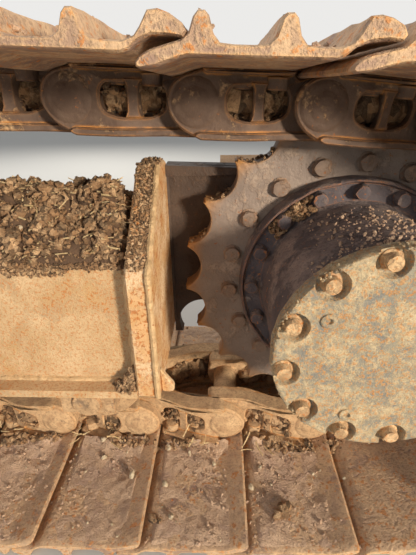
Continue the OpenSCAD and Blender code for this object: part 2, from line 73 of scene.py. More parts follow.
# ---- shapes: arrays of points on grids ----
def latticeNoise(p, size, seed=0):
    # Smooth random values from -1 to 1: a random number at each corner of a cubic lattice, blended in between.
    q = np.asarray(p, float) / size
    i = np.floor(q).astype(np.int64)
    f = q - i
    f = f * f * (3 - 2 * f)
    total = 0
    for dx in (0, 1):
        for dy in (0, 1):
            for dz in (0, 1):
                n = ((i[..., 0] + dx) * 73856093) ^ ((i[..., 1] + dy) * 19349663) ^ ((i[..., 2] + dz) * 83492791)
                n = ((n + seed * 7919) ^ (n >> 13)) * 1274126177 & 0x7FFFFFFF
                n = ((n ^ (n >> 15)) * 2246822519 & 0x7FFFFFFF) ^ (n >> 11)
                w = (f[..., 0] if dx else 1 - f[..., 0]) * (f[..., 1] if dy else 1 - f[..., 1])
                total = total + (n % 65536 / 32768 - 1) * w * (f[..., 2] if dz else 1 - f[..., 2])
    return total


def cloudNoise(p, size, octaves=3, seed=0):
    # A sum of lattice noises, each half as large and half as strong as the one before.
    return sum(latticeNoise(p, size / 2 ** k, seed + k) / 2 ** k for k in range(octaves))


def gridFaces(m, n, closeM=False, closeN=False, capM=False):
    # Quads of an m by n grid of points, with rows joined end to end and the first and last row capped on request.
    r = np.arange(m if closeM else m - 1)[:, None]
    c = np.arange(n if closeN else n - 1)[None, :]
    r2, c2 = (r + 1) % m, (c + 1) % n
    quads = np.stack([r * n + c, r * n + c2, r2 * n + c2, r2 * n + c], -1).reshape(-1, 4)
    faces = quads.tolist()
    if capM:
        faces += [list(range(n))[::-1], list(range((m - 1) * n, m * n))]
    return faces


def outwardFaces(points, faces):
    # One array of faces for each number of corners. They are turned round if the volume that they enclose, summed
    # from fans of triangles, comes out negative.
    groups = [np.array([f for f in faces if len(f) == n]) for n in {len(f) for f in faces}]
    volume = sum(np.sum(points[g[:, 0]] * np.cross(points[g[:, k]], points[g[:, k + 1]]))
                 for g in groups for k in range(1, g.shape[1] - 1))
    return groups if volume > 0 else [g[:, ::-1] for g in groups]


def makePiece(name, chunks, finish, replaced=(), body="track_unit", autoAngle=35):
    # Joins chunks of (points, faces) in one mesh; points may hold several copies that share the faces.
    points, faces, base = [], [], 0
    for pts, fcs in chunks:
        pts = np.asarray(pts, float)
        pts = pts.reshape(-1, pts.shape[-2], 3)
        shift = base + np.arange(len(pts))[:, None, None] * pts.shape[1]
        for group in outwardFaces(pts[0] - pts[0].mean(0), fcs):
            faces += (group[None] + shift).reshape(-1, group.shape[1]).tolist()
        points.append(pts.reshape(-1, 3))
        base += pts.shape[0] * pts.shape[1]
    mesh = bpy.data.meshes.new(name)
    mesh.from_pydata(np.concatenate(points).tolist(), [], faces)
    mesh.update()
    mesh.polygons.foreach_set("use_smooth", np.ones(len(mesh.polygons), bool))
    mesh.set_sharp_from_angle(angle=math.radians(autoAngle))
    o = bpy.data.objects.new(name, mesh)
    bpy.context.collection.objects.link(o)
    mesh.materials.append(mats[finish])
    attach(o, body)
    if replaced:
        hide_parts(*replaced)


def around(radius, angle, y, centre):
    # Points at a radius and an angle about the line through centre along Y.
    x, z = centre[0] + radius * np.cos(angle), centre[2] + radius * np.sin(angle)
    return np.stack(np.broadcast_arrays(x, centre[1] + y, z), -1)


def lathe(profile, centre, steps, rough=0.0, grain=0.03, seed=0):
    # Turns a profile of [radius, y] about the line through centre along Y; rough pushes points along the radius.
    r, y = np.asarray(profile, float).T[..., None]
    t = np.arange(steps) * 2 * np.pi / steps
    p = around(r, t, y, centre)
    if rough:
        p = around(r + rough * cloudNoise(p, grain, 3, seed), t, y, centre)
    return p.reshape(-1, 3), gridFaces(len(profile), steps, closeN=True, capM=True)


def rounded(points, radius, steps=4):
    # Rounds each corner of a closed outline with a short arc, drawn as a quadratic curve.
    pts = [np.array(p[:2], float) for p in points]
    out = []
    for i, p in enumerate(pts):
        r = points[i][2] if len(points[i]) > 2 else radius
        a, b = pts[i - 1] - p, pts[(i + 1) % len(pts)] - p
        la, lb = np.linalg.norm(a), np.linalg.norm(b)
        cut = min(r, la * 0.45, lb * 0.45)
        s, e = p + a / la * cut, p + b / lb * cut
        for t in np.linspace(0, 1, steps):
            out.append((1 - t) ** 2 * s + 2 * t * (1 - t) * p + t * t * e)
    return np.array(out)


def inset(outline, d):
    # Moves a closed outline inwards by d, along the line that halves each corner.
    prev, nxt = np.roll(outline, 1, 0), np.roll(outline, -1, 0)
    u, v = outline - prev, nxt - outline
    u = u / np.maximum(np.linalg.norm(u, axis=1), 1e-9)[:, None]
    v = v / np.maximum(np.linalg.norm(v, axis=1), 1e-9)[:, None]
    area = np.sum(outline[:, 0] * nxt[:, 1] - nxt[:, 0] * outline[:, 1])
    s = 1 if area > 0 else -1
    n = np.stack([-(u + v)[:, 1], (u + v)[:, 0]], 1) * s
    n = n / np.maximum(np.linalg.norm(n, axis=1), 1e-9)[:, None]
    return outline + n * d


def plateChunk(outline, low, high, bevel, plane):
    # A flat plate: its outline at both faces, set in by the bevel, with the full outline between them.
    # Plane "xz" lies across Y, "yz" lies across X and "xy" lies across Z.
    a, b, across = {"xz": (0, 2, 1), "yz": (1, 2, 0), "xy": (0, 1, 2)}[plane]
    o = np.asarray(outline)
    i = inset(o, bevel)
    p = np.zeros((4, len(o), 3))
    p[..., a], p[..., b] = np.moveaxis(np.stack([i, o, o, i]), -1, 0)
    p[..., across] = np.array([low, low + bevel, high - bevel, high])[:, None]
    return p.reshape(-1, 3), gridFaces(4, len(o), closeN=True, capM=True)


def boltHeads(places, axis, across, height, washer, seed=0, soft=0.0, ref=(1, 0, 0)):
    # Hexagon heads with a chamfered crown on round washers; soft fills their corners with clay.
    n = 18
    t = np.arange(n) * 2 * np.pi / n
    hexR = across / 2 / np.cos((t + np.pi / 6) % (np.pi / 3) - np.pi / 6)
    hexR = hexR * (1 - soft) + across * 0.54 * soft
    full = np.ones(n)
    rows = [(washer * full, -0.002), (washer * full, 0.002), (hexR + 0.001, 0.003), (hexR, height * 0.8),
            (np.minimum(hexR, across * 0.51), height * 0.95), (full * across * 0.3, height)]
    places = np.asarray(places, float)
    axis = np.broadcast_to(np.asarray(axis, float), places.shape)
    r = np.random.default_rng(seed)
    spin = r.uniform(0, np.pi / 3, (len(places), 1, 1))
    rad = np.stack([q for q, _ in rows])[None] * (1 + soft * 0.1 * r.normal(size=(len(places), len(rows), n)))
    h = np.array([q for _, q in rows])[None, :, None] + 0 * rad
    e1 = np.cross(axis, np.asarray(ref, float))
    e1 /= np.linalg.norm(e1, axis=1)[:, None]
    e2 = np.cross(axis, e1)
    u, v = rad * np.cos(t + spin), rad * np.sin(t + spin)
    p = sum(q[..., None] * e[:, None, None] for q, e in ((u, e1), (v, e2), (h, axis))) + places[:, None, None]
    return p.reshape(len(places), -1, 3), gridFaces(len(rows), n, closeN=True, capM=True)


def tube(path, radius, sides=8, ripple=0.0, seed=0):
    # A circle carried along a path of points; ripple swells it at random, like the scales of a weld.
    path = np.asarray(path, float)
    along = np.gradient(path, axis=0)
    along /= np.linalg.norm(along, axis=1)[:, None]
    ref = np.where(np.abs(along[:, :1]) < 0.8, [[1.0, 0, 0]], [[0, 1.0, 0]])
    e1 = np.cross(along, ref)
    e1 /= np.linalg.norm(e1, axis=1)[:, None]
    e2 = np.cross(along, e1)
    t = np.arange(sides) * 2 * np.pi / sides
    r = radius * (1 + ripple * np.random.default_rng(seed).normal(size=(len(path), 1)))
    p = path[:, None] + (r * np.cos(t))[..., None] * e1[:, None] + (r * np.sin(t))[..., None] * e2[:, None]
    return p.reshape(-1, 3), gridFaces(len(path), sides, closeN=True, capM=True)


def stretch(points, step, count=int):
    # A path through the given corners with a point about every step; count rounds the number of points on a stretch.
    points = np.asarray(points, float)
    out = [points[:1]]
    for a, b in zip(points[:-1], points[1:]):
        n = max(1, count(math.dist(a, b) / step))
        out.append(a + (b - a) * (np.arange(1, n + 1) / n)[:, None])
    return np.concatenate(out)


def bead(corners, radius, ripple, seed, step=0.007):
    # A weld bead along a path.
    return tube(stretch(corners, step), radius, 8, ripple, seed)


def lumps(places, sizes, seed, rough=0.26, flat=0.55, rows=3, cols=6):
    # Clods and stones: a ball of few faces, dented, flattened and turned differently for each.
    r = np.random.default_rng(seed)
    places = np.asarray(places, float)
    n = len(places)
    lat, lon = (np.arange(rows) + 0.5) / rows * np.pi, np.arange(cols) * 2 * np.pi / cols
    ball = np.stack([np.sin(lat)[:, None] * np.cos(lon), np.sin(lat)[:, None] * np.sin(lon),
                     np.cos(lat)[:, None] + 0 * lon], -1).reshape(-1, 3)
    p = ball * (1 + rough * r.normal(size=(n, len(ball), 1))) * r.uniform(flat, 1, (n, 1, 3))
    q = r.normal(size=(n, 4))
    w, x, y, z = (q / np.linalg.norm(q, axis=1)[:, None]).T
    turn = np.stack([1 - 2 * (y * y + z * z), 2 * (x * y - z * w), 2 * (x * z + y * w),
                     2 * (x * y + z * w), 1 - 2 * (x * x + z * z), 2 * (y * z - x * w),
                     2 * (x * z - y * w), 2 * (y * z + x * w), 1 - 2 * (x * x + y * y)], 1).reshape(-1, 3, 3)
    p = np.einsum("nij,nkj->nki", turn, p) * np.asarray(sizes).reshape(-1, 1, 1) + places[:, None]
    return p, gridFaces(rows, cols, closeN=True, capM=True)


def straws(places, heading, seed, length=(0.012, 0.036), thick=0.0011):
    # Bits of straw: bent three-sided stalks that lie where they fell.
    r = np.random.default_rng(seed)
    places = np.asarray(places, float)
    n = len(places)
    t = np.linspace(-0.5, 0.5, 5)
    along = np.stack([np.cos(heading), np.sin(heading), r.normal(0, 0.25, n)], 1)
    side = np.cross(along, [[0, 0, 1.0]])
    long = r.uniform(*length, n)[:, None, None]
    bend = r.normal(0, 0.25, n)[:, None, None] * (t ** 2)[None, :, None]
    line = places[:, None] + long * (t[None, :, None] * along[:, None] + bend * side[:, None])
    w = (thick * r.uniform(0.7, 1.6, n))[:, None, None, None]
    ring = np.arange(3) * 2 * np.pi / 3
    up = np.array([0, 0, 1.0])
    p = line[:, :, None] + w * (np.cos(ring)[None, None, :, None] * side[:, None, None]
                                + np.sin(ring)[None, None, :, None] * up)
    return p.reshape(n, -1, 3), gridFaces(5, 3, closeN=True, capM=True)


# ---- the chain's path, as the CAD lays it out ----
chainPlan = {
    "pitch": 0.190, "links": 45, "teeth": 21, "tip": 0.082, "idlerPin": 0.330, "axle": 3.26404, "middle": 1.63424,
    "carrier": 0.1223, "rise": 0.052, "carriers": (1.0, 2.18), "sag": 0.005, "start": -0.046,
}


def chainPins(c):
    # Pins lie on a belt round idler, sprocket and carriers; each big arc holds one pitch for each chord.
    rs = c["pitch"] / (2 * math.sin(2 * math.pi / c["teeth"]))
    axis = c["tip"] + rs
    top = axis + rs + c["rise"] - c["carrier"]
    rings = [(-c["axle"], c["tip"] + c["idlerPin"], c["idlerPin"]), (0.0, axis, rs),
             (-c["carriers"][0], top, c["carrier"]), (-c["carriers"][1], top, c["carrier"])]

    def tangent(a, b):
        d = math.dist(a[:2], b[:2])
        return math.atan2(b[1] - a[1], b[0] - a[0]) - math.acos((a[2] - b[2]) / d)

    def step(r):
        return 2 * math.asin(c["pitch"] / (2 * r)) if r > c["pitch"] else c["pitch"] / r

    def onArc(a, t):
        return np.array([a[0] + a[2] * math.cos(t), a[1] + a[2] * math.sin(t)])
    runs = []
    for i, a in enumerate(rings):
        b, z = rings[(i + 1) % 4], rings[(i + 2) % 4]
        t, t2 = tangent(a, b), tangent(b, z)
        length = math.sqrt(math.dist(a[:2], b[:2]) ** 2 - (a[2] - b[2]) ** 2) / c["pitch"]
        runs.append(("line", length, a, b, t, i))
        runs.append(("arc", ((t2 - t) % (2 * math.pi)) / step(b[2]), b, t, step(b[2])))
    first = runs[0][1] + c["start"] / c["pitch"]
    pins = []
    for k in range(c["links"]):
        s = k + first % 1.0
        for run in runs:
            if s < run[1] or run is runs[-1]:
                break
            s -= run[1]
        if run[0] == "line":
            w = s / run[1]
            p = (1 - w) * onArc(run[2], run[4]) + w * onArc(run[3], run[4])
            p[1] -= c["sag"] * math.sin(math.pi * w) if run[5] > 0 else 0
        else:
            p = onArc(run[2], run[3] + s * run[4])
        pins.append(p)
    pins = np.array(pins)
    pins[:, 0] += c["middle"]
    return pins, rs, axis


pins, pinCircle, axisZ = chainPins(chainPlan)
axisX = chainPlan["middle"]
ahead = np.roll(pins, -1, 0) - pins
ahead /= np.linalg.norm(ahead, axis=1)[:, None]
outward = np.stack([ahead[:, 1], -ahead[:, 0]], 1)
outThree = np.stack([outward[:, 0], 0 * outward[:, 0], outward[:, 1]], 1)
every = np.arange(chainPlan["links"])
axle = (axisX, 0, axisZ)
outboard, inboard = (0, -1, 0), (0, 1, 0)


def ontoLinks(a, b, y):
    # Carries points given as (along, outward, across) onto every link of the chain at once.
    a, b, y = np.broadcast_arrays(a, b, y)
    xz = (pins[:, None] + a.reshape(1, -1, 1) * ahead[:, None] + b.reshape(1, -1, 1) * outward[:, None])
    return np.stack([xz[..., 0], np.broadcast_to(y.reshape(1, -1), xz.shape[:2]), xz[..., 1]], -1)


# ---- materials ----
def linear(code):
    c = np.array([int(code[i:i + 2], 16) / 255 for i in (1, 3, 5)])
    return (*np.where(c <= 0.04045, c / 12.92, ((c + 0.055) / 1.055) ** 2.4), 1.0)


def node(tree, kind, settings=None, **links):
    # Adds a node, sets its properties and values, and joins its inputs to other nodes' outputs.
    n = tree.nodes.new(kind)
    for k, v in (settings or {}).items():
        if k in n.inputs:
            n.inputs[k].default_value = v
        else:
            setattr(n, k, v)
    for k, v in links.items():
        tree.links.new(v, n.inputs[int(k[1:])] if k[1:].isdigit() else n.inputs[k])
    return n


def ramp(tree, source, stops):
    n = node(tree, "ShaderNodeValToRGB", None, _0=source)
    while len(n.color_ramp.elements) < len(stops):
        n.color_ramp.elements.new(0.5)
    for e, (pos, colour) in zip(n.color_ramp.elements, stops):
        e.position, e.color = pos, linear(colour) if isinstance(colour, str) else (colour, colour, colour, 1)
    return n.outputs[0]


def blendColour(tree, share, a, b, mode="MIX"):
    n = node(tree, "ShaderNodeMix", {"data_type": "RGBA", "blend_type": mode})
    for socket, v in ((n.inputs[0], share), (n.inputs[6], a), (n.inputs[7], b)):
        if isinstance(v, str):
            socket.default_value = linear(v)
        elif isinstance(v, (int, float)):
            socket.default_value = v
        else:
            tree.links.new(v, socket)
    return n.outputs[2]


def maths(tree, kind, a, b=0.5, c=None):
    n = node(tree, "ShaderNodeMath", {"operation": kind})
    for socket, v in zip(n.inputs, (a, b) if c is None else (a, b, c)):
        if isinstance(v, (int, float)):
            socket.default_value = v
        else:
            tree.links.new(v, socket)
    return n.outputs[0]


def soiled(name, m):
    # Steel that has worked in wet clay: its own finish, rust where that has gone, dried mud over both, rust specks
    # through the mud, and worn edges. Sizes are in millimetres: patch a mud patch, speck a rust spot, grain a crumb,
    # edge a worn edge. Heights of the bump are too: thick is the mud's, crumb the grain's and pit the specks'.
    # Shares from 0 to 1: cover is how much mud there is, settles adds to it on upward faces and low near the ground,
    # as painted light on the links for their sunlit lower run; soft is the width of its border, and islands is how
    # much clods differ in tone. Band gives two radii in metres of a brighter zone; it and the sprocket's edge tone are
    # partly painted sunlight.
    mat = bpy.data.materials.new(name)
    mat.use_nodes = True
    tree = mat.node_tree
    tree.nodes.clear()
    spot = node(tree, "ShaderNodeTexCoord").outputs["Object"]

    def noise(size, detail=4.0, rough=0.6, distort=0.0):
        return node(tree, "ShaderNodeTexNoise", {"Scale": 1000.0 / size, "Detail": detail, "Roughness": rough,
                                                 "Distortion": distort}, Vector=spot).outputs[0]
    patches = noise(m["patch"], 7.0, m["rough"], 0.4)
    specks, grain = noise(m["speck"], 4.0, 0.7), noise(m["grain"], 3.0, 0.65)
    shape = node(tree, "ShaderNodeNewGeometry")
    up = node(tree, "ShaderNodeSeparateXYZ", None, _0=shape.outputs["Normal"]).outputs[2]
    shades = ramp(tree, noise(m["patch"] * 0.7), [(0.38, 0.0), (0.62, 1.0)])
    base = blendColour(tree, shades, *m["base"])
    rust = ramp(tree, grain, [(0.3, m["rust"][0]), (0.7, m["rust"][1])])
    rusty = ramp(tree, specks, [(m["rustFrom"], 0.0), (m["rustFrom"] + 0.06, 1.0)])
    base = blendColour(tree, rusty, base, rust)
    place = node(tree, "ShaderNodeSeparateXYZ", None, _0=spot)
    lift = maths(tree, "MULTIPLY_ADD", up, m["settles"], m["cover"] - 0.675)
    if m["low"]:
        # painted light: paler mud low down, standing in for the sunlit lower run of the chain against its shaded upper
        # run
        lift = maths(tree, "MULTIPLY_ADD", ramp(tree, place.outputs[2], [(0.12, 1.0), (0.34, 0.0)]), m["low"], lift)
    mudAndLowLight = maths(tree, "ADD", maths(tree, "MULTIPLY_ADD", specks, 0.35, patches), lift)
    mask = ramp(tree, mudAndLowLight, [(0.51 - m["soft"], 0.0), (0.51 + m["soft"], 1.0)])
    shades = ramp(tree, noise(m["patch"] * 0.4), [(0.34, 0.0), (0.66, 1.0)])
    mud = blendColour(tree, shades, *m["mud"][:2])
    mud = blendColour(tree, ramp(tree, grain, [(0.36, 0.45), (0.5, 0.0)]), mud, m["mud"][2])
    colour = blendColour(tree, mask, base, mud)
    colour = blendColour(tree, maths(tree, "MULTIPLY", rusty, m["through"]), colour, rust)
    if m["edge"]:
        # where the rounded normal turns away from the true one, there is an edge: worn, and on the sprocket partly
        # painted sunlight
        soft = node(tree, "ShaderNodeBevel", {"samples": 4, "Radius": m["edge"] / 1000})
        turn = node(tree, "ShaderNodeVectorMath", {"operation": "DOT_PRODUCT"}, _0=soft.outputs[0],
                    _1=shape.outputs["Normal"]).outputs["Value"]
        worn = maths(tree, "MULTIPLY", ramp(tree, turn, [(0.80, 1.0), (0.97, 0.0)]),
                     ramp(tree, noise(m["speck"] * 3), [(0.36, 0.15), (0.58, m["edgeShare"])]))
        colour = blendColour(tree, worn, colour, m["edgeTone"])
    if m["band"]:
        # a zone round the sprocket's axis between two radii, made bright: partly rubbed, partly painted sunlight on
        # the teeth
        flat = node(tree, "ShaderNodeCombineXYZ", None, _0=place.outputs[0], _2=place.outputs[2])
        away = node(tree, "ShaderNodeVectorMath", {"operation": "DISTANCE"}, _0=flat.outputs[0])
        away.inputs[1].default_value = (axisX, 0, axisZ)
        band = ramp(tree, away.outputs["Value"], [(m["band"][0], 0.0), (m["band"][1], 1.0)])
        band = maths(tree, "MULTIPLY", band, ramp(tree, patches, [(0.36, 0.35), (0.6, 0.95)]))
        colour = blendColour(tree, band, colour, m["bandTone"])
    if m["islands"]:
        # each clod has its own shade
        shade = ramp(tree, shape.outputs["Random Per Island"], [(0.0, 1 - m["islands"]), (0.55, 0.85), (1.0, 1.0)])
        colour = blendColour(tree, 1.0, colour, shade, "MULTIPLY")
    height = maths(tree, "MULTIPLY_ADD", mask, m["thick"], maths(tree, "MULTIPLY", grain, m["crumb"]))
    height = maths(tree, "MULTIPLY_ADD", specks, m["pit"], height)
    bump = node(tree, "ShaderNodeBump", {"Strength": 1.0, "Distance": 0.001}, Height=height).outputs[0]
    shader = node(tree, "ShaderNodeBsdfPrincipled", {"Metallic": 0.0}, Normal=bump)
    tree.links.new(colour, shader.inputs["Base Color"])
    tree.links.new(ramp(tree, mask, [(0.0, m["shine"]), (1.0, 0.96)]), shader.inputs["Roughness"])
    if m["metal"]:
        tree.links.new(ramp(tree, mask, [(0.0, m["metal"]), (0.6, 0.0)]), shader.inputs["Metallic"])
    node(tree, "ShaderNodeOutputMaterial", None, Surface=shader.outputs[0])
    return mat


common = {
    "mud": ("#C79E73", "#A98763", "#6B4F38"), "rust": ("#8A4A22", "#C27A3A"), "speck": 9, "grain": 5, "rough": 0.68,
    "cover": 0.52, "settles": 0.04, "low": 0.0, "soft": 0.05, "metal": 0.0, "rustFrom": 0.6, "through": 0.35,
    "thick": 1.0, "crumb": 1.2, "pit": 0.5, "edge": 3, "edgeTone": "#C07A3C", "edgeShare": 0.6, "band": None,
    "islands": 0.0,
}
finishes = {
    # cast track shoe: rolled steel gone brown under a thin pale skin of clay, bars and lips orange with rust
    "shoePlate": {
        "base": ("#957766", "#AB8A70"), "mud": ("#D6B189", "#BC9A7A", "#86694F"), "rust": ("#AA5E26", "#D98B3C"),
        "patch": 70, "speck": 12, "cover": 0.57, "shine": 0.8, "metal": 0.05, "rustFrom": 0.56, "through": 0.7,
        "crumb": 2.4, "pit": 1.4, "edge": 5, "edgeTone": "#E9B87C", "edgeShare": 0.9,
    },
    # forged link: brown oxide skin with clay dried in its hollows, rail edge rusty; its dark tone is partly painted
    # shade
    # low paints the lower run paler with mud: painted light for the sunlit lower run against the shaded upper run
    "linkForging": {
        "base": ("#604A3B", "#715A49"), "mud": ("#D4AF82", "#B58F68", "#7C5F43"), "patch": 40, "cover": 0.37,
        "low": 0.32, "shine": 0.7, "metal": 0.2, "rustFrom": 0.64, "through": 0.2, "edge": 6, "edgeTone": "#CE8B45",
        "edgeShare": 0.95,
    },
    # sprocket casting: matt grey-brown face; flanks orange and bright, partly rubbed by bushings, partly painted
    # sunlight
    "sprocketCasting": {
        "base": ("#8B796B", "#9A8777"), "mud": ("#B49E8A", "#9E8875", "#6F5C4F"), "patch": 60, "cover": 0.42,
        "shine": 0.6, "metal": 0.2, "rustFrom": 0.63, "through": 0.6, "edge": 7, "edgeTone": "#E0A050",
        "edgeShare": 1.0, "band": (0.286, 0.314), "bandTone": "#BB8347",
    },
    # sprocket bolts: the same steel, filled round with clay
    "sprocketBolt": {
        "base": ("#86705F", "#957D69"), "mud": ("#AF8F72", "#957761", "#6B5544"), "patch": 24, "cover": 0.46,
        "shine": 0.7, "metal": 0.1, "edge": 0,
    },
    # final drive case: cast iron, matt, dark purple-grey: partly oxide, partly painted bluish shade on the drum's side
    "caseIron": {
        "base": ("#524848", "#615655"), "mud": ("#978478", "#776862", "#4F403B"), "patch": 70, "cover": 0.42,
        "settles": 0.14, "shine": 0.75, "through": 0.2, "thick": 1.6, "crumb": 2.0, "edge": 4, "edgeTone": "#B9753A",
        "edgeShare": 0.9,
    },
    # drive cover: machined casting with grey-blue primer, clay rubbed to a cream film, freckled with rust
    "coverCasting": {
        "base": ("#7E7A70", "#9A9079"), "mud": ("#CDB791", "#B59F7B", "#7B6A50"), "rust": ("#A96C38", "#C98E4C"),
        "patch": 34, "speck": 5, "grain": 2.6, "rough": 0.88, "cover": 0.53, "soft": 0.07, "shine": 0.6, "metal": 0.1,
        "rustFrom": 0.53, "through": 0.6, "thick": 0.5, "crumb": 1.3, "pit": 0.8, "edgeTone": "#C49A66",
    },
    # bolts: plating long gone, heads filled and rounded by clay
    "boltSteel": {
        "base": ("#A9865F", "#BC966C"), "mud": ("#DDBA8C", "#C9A477", "#6B4F38"), "patch": 24, "speck": 5,
        "shine": 0.6, "metal": 0.1, "rustFrom": 0.55, "through": 0.7, "edge": 2, "edgeTone": "#C98545",
    },
    # frame plate: tan film over worn yellow enamel, freckled orange where stones have struck it
    "framePaint": {
        "base": ("#C39C6A", "#BA9870"), "mud": ("#D6B68B", "#C4A277", "#A8743F"), "rust": ("#A8602A", "#CE8A48"),
        "patch": 120, "speck": 5.5, "grain": 3, "cover": 0.56, "shine": 0.62, "rustFrom": 0.525, "through": 0.6,
        "thick": 0.35, "crumb": 0.9, "pit": 1.0, "edge": 4, "edgeTone": "#DDB27A", "edgeShare": 0.5,
    },
    # end plate: the same, rubbed rougher
    "plateEdge": {
        "base": ("#CC9C66", "#D7AC7A"), "mud": ("#E6C69C", "#DAB68B", "#AC865C"), "rust": ("#A65B26", "#CC8440"),
        "patch": 60, "speck": 7, "grain": 3, "cover": 0.5, "shine": 0.65, "rustFrom": 0.52, "through": 0.65,
        "thick": 0.8, "crumb": 0.9, "edge": 6, "edgeTone": "#F3D3A0", "edgeShare": 0.9,
    },
    # bracket and box inside: the same paint, made dark as painted shade for the shadow they sit in behind the sprocket
    "bracketShadedPaint": {
        "base": ("#49382C", "#574435"), "mud": ("#665040", "#574436", "#382B22"), "rust": ("#583C2A", "#6E4C36"),
        "patch": 90, "cover": 0.44, "shine": 0.7, "through": 0.15, "edge": 0,
    },
    # rollers and idler: hardened castings, sides rusty, treads dull bright
    "rollerIron": {
        "base": ("#80684F", "#93785C"), "mud": ("#CBA67B", "#A98762", "#6B4F38"), "patch": 60, "cover": 0.5,
        "low": 0.22, "shine": 0.75, "edgeShare": 0.7,
    },
    # travel motor and recoil unit: dark enamel under oily dust
    "motorEnamel": {
        "base": ("#4E4840", "#5D554B"), "patch": 70, "cover": 0.44, "settles": 0.12, "shine": 0.5, "edge": 2,
        "edgeTone": "#8B7A66",
    },
    # weld bead: mill scale gone pale with dust
    "weldSteel": {
        "base": ("#C09A6C", "#D0AC7C"), "mud": ("#DCBA8A", "#CCA677", "#A98358"), "patch": 30, "speck": 6,
        "cover": 0.5, "shine": 0.6, "edge": 0,
    },
    # loose soil: brown clods, dry and paler on top, black between where the soil beneath is painted shade
    "looseSoil": {
        "base": ("#9A7450", "#B48A60"), "mud": ("#D9B285", "#B99169", "#5F4530"), "rust": ("#6F5138", "#8A6949"),
        "patch": 26, "speck": 7, "grain": 3, "cover": 0.5, "settles": 0.06, "shine": 0.97, "thick": 1.5, "crumb": 2.4,
        "edge": 0, "islands": 0.8,
    },
    # soil under the clods: painted shade, dark so that the gaps between the clods read as shadow, without the dry skin
    "shadedSoil": {
        "base": ("#5B4431", "#6A503A"), "mud": ("#7A5E45", "#6A503A", "#3F2E20"), "rust": ("#54402E", "#65503A"),
        "patch": 30, "speck": 8, "grain": 3, "cover": 0.4, "shine": 0.95, "crumb": 3.0, "edge": 0,
    },
    # dried mud spread on the shoes: sandy, with darker damp patches
    "shoeMud": {
        "base": ("#C09E84", "#CFAD90"), "mud": ("#DDB997", "#CAA787", "#98795F"), "rust": ("#A17F64", "#BC9777"),
        "patch": 60, "speck": 7, "grain": 3.4, "cover": 0.54, "settles": 0.02, "shine": 0.97, "through": 0.2,
        "thick": 0.5, "crumb": 2.8, "pit": 2.0, "edge": 0, "islands": 0.22,
    },
    # pebbles: pale sandstone
    "paleStone": {
        "base": ("#B9A484", "#C9B798"), "mud": ("#C4A77F", "#B0936F", "#6B4F38"), "patch": 14, "speck": 3,
        "cover": 0.4, "shine": 0.9, "through": 0.1, "edge": 0,
    },
    # straw: bleached stalks
    "dryStraw": {
        "base": ("#C9AB78", "#DAC192"), "mud": ("#B08C5C", "#9A7A50", "#6B4F38"), "patch": 10, "speck": 4,
        "cover": 0.3, "shine": 0.8, "through": 0.1, "crumb": 0.3, "edge": 0,
    },
}
mats = {k: soiled(k, {**common, **v}) for k, v in finishes.items()}
# the material slot of each finish; the rest are soil, stones and straw
nodeFinish = {
    "framePaint": ["track_frame", "frame_front_plate", "motor_guard", "idler_guides", "idler_yoke", "carrier_stands",
                   "chain_guides", "mount_pad_front", "mount_pad_rear", "access_cover"],
    "plateEdge": ["drive_end_plate"],
    "bracketShadedPaint": ["drive_bracket", "bracket_rim"],
    "sprocketCasting": ["sprocket"],
    "caseIron": ["hub_flange", "planetary_case", "drive_spindle"],
    "coverCasting": ["drive_cover"],
    "boltSteel": ["sprocket_bolts", "case_bolts", "cover_bolts", "idler_shaft", "carrier_shafts", "cover_hinge"],
    "motorEnamel": ["travel_motor", "motor_valve", "recoil_unit"],
    "rollerIron": ["idler_wheel", "idler_blocks", "roller_collars", "carrier_roller_front", "carrier_roller_rear"]
    + [f"track_roller_{i}" for i in range(1, 8)],
    "linkForging": ["outer_links", "inner_links", "bushings"],
    "shoePlate": ["track_shoes"],
    "looseSoil": ["soil_heap"],
}
for finish, nodes in nodeFinish.items():
    for n in nodes:
        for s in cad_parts[n].material_slots:
            s.material = mats[finish]
print("stage: materials")

# ---- shoes ----
shoe = {
    "halfWidth": 0.350, "chamfer": 0.004, "plate": 0.056, "under": 27, "boltAlong": (0.063, 0.131),
    "boltAcross": (-0.098, -0.066, 0.066, 0.098),
    "outline": [
        (-6, 67), (-2, 74), (9, 80), (19, 82), (28, 80), (35, 68), (40, 60), (50, 56), (66, 56), (78, 57), (84, 65),
        (88, 78), (92, 82), (98, 82), (102, 78), (106, 65), (112, 57), (124, 56), (142, 56), (154, 57), (160, 65),
        (164, 78), (168, 82), (174, 82), (178, 78), (182, 66), (189, 58), (203, 54), (216, 50), (225, 45), (229, 40),
        (229, 36), (225, 34), (210, 37), (196, 42), (183, 45.8), (165, 46), (140, 46), (115, 46), (90, 46), (66, 46),
        (52, 46), (44, 49), (36, 56), (24, 62), (10, 63), (-3, 62),
    ],
}
shoeOutline = np.array(shoe["outline"]) / 1000


def makeShoes(s):
    # Each shoe is its outline carried across the track; noise wears its bars and waves its plate.
    o = shoeOutline
    ends = np.array([-s["halfWidth"], -s["halfWidth"] + s["chamfer"]])
    ys = np.concatenate([ends, np.linspace(-0.335, 0.335, 31), -ends[::-1]])
    a = np.stack([inset(o, s["chamfer"] * 0.5) if i in (0, len(ys) - 1) else o for i in range(len(ys))])
    a, b = a.reshape(-1, 2).T
    p = ontoLinks(a, b, np.repeat(ys, len(o)))
    n, fine = cloudNoise(p, 0.09, 3, 3), cloudNoise(p, 0.028, 2, 8)
    barFoot, wear = 0.06, 0.0020
    shift = np.where(b > barFoot, -wear - 0.0024 * n - 0.0014 * fine, 0.0008 * n)
    p = p + shift[..., None] * outThree[:, None]
    p[..., 2] = np.maximum(p[..., 2], 0.0)
    return p, gridFaces(len(ys), len(o), closeN=True, capM=True)


def atLinks(which, a, b, y):
    # Points given as (along, outward, across) on one named link each.
    xz = pins[which] + np.asarray(a)[:, None] * ahead[which] + np.asarray(b)[:, None] * outward[which]
    return np.stack([xz[:, 0], y, xz[:, 1]], 1)


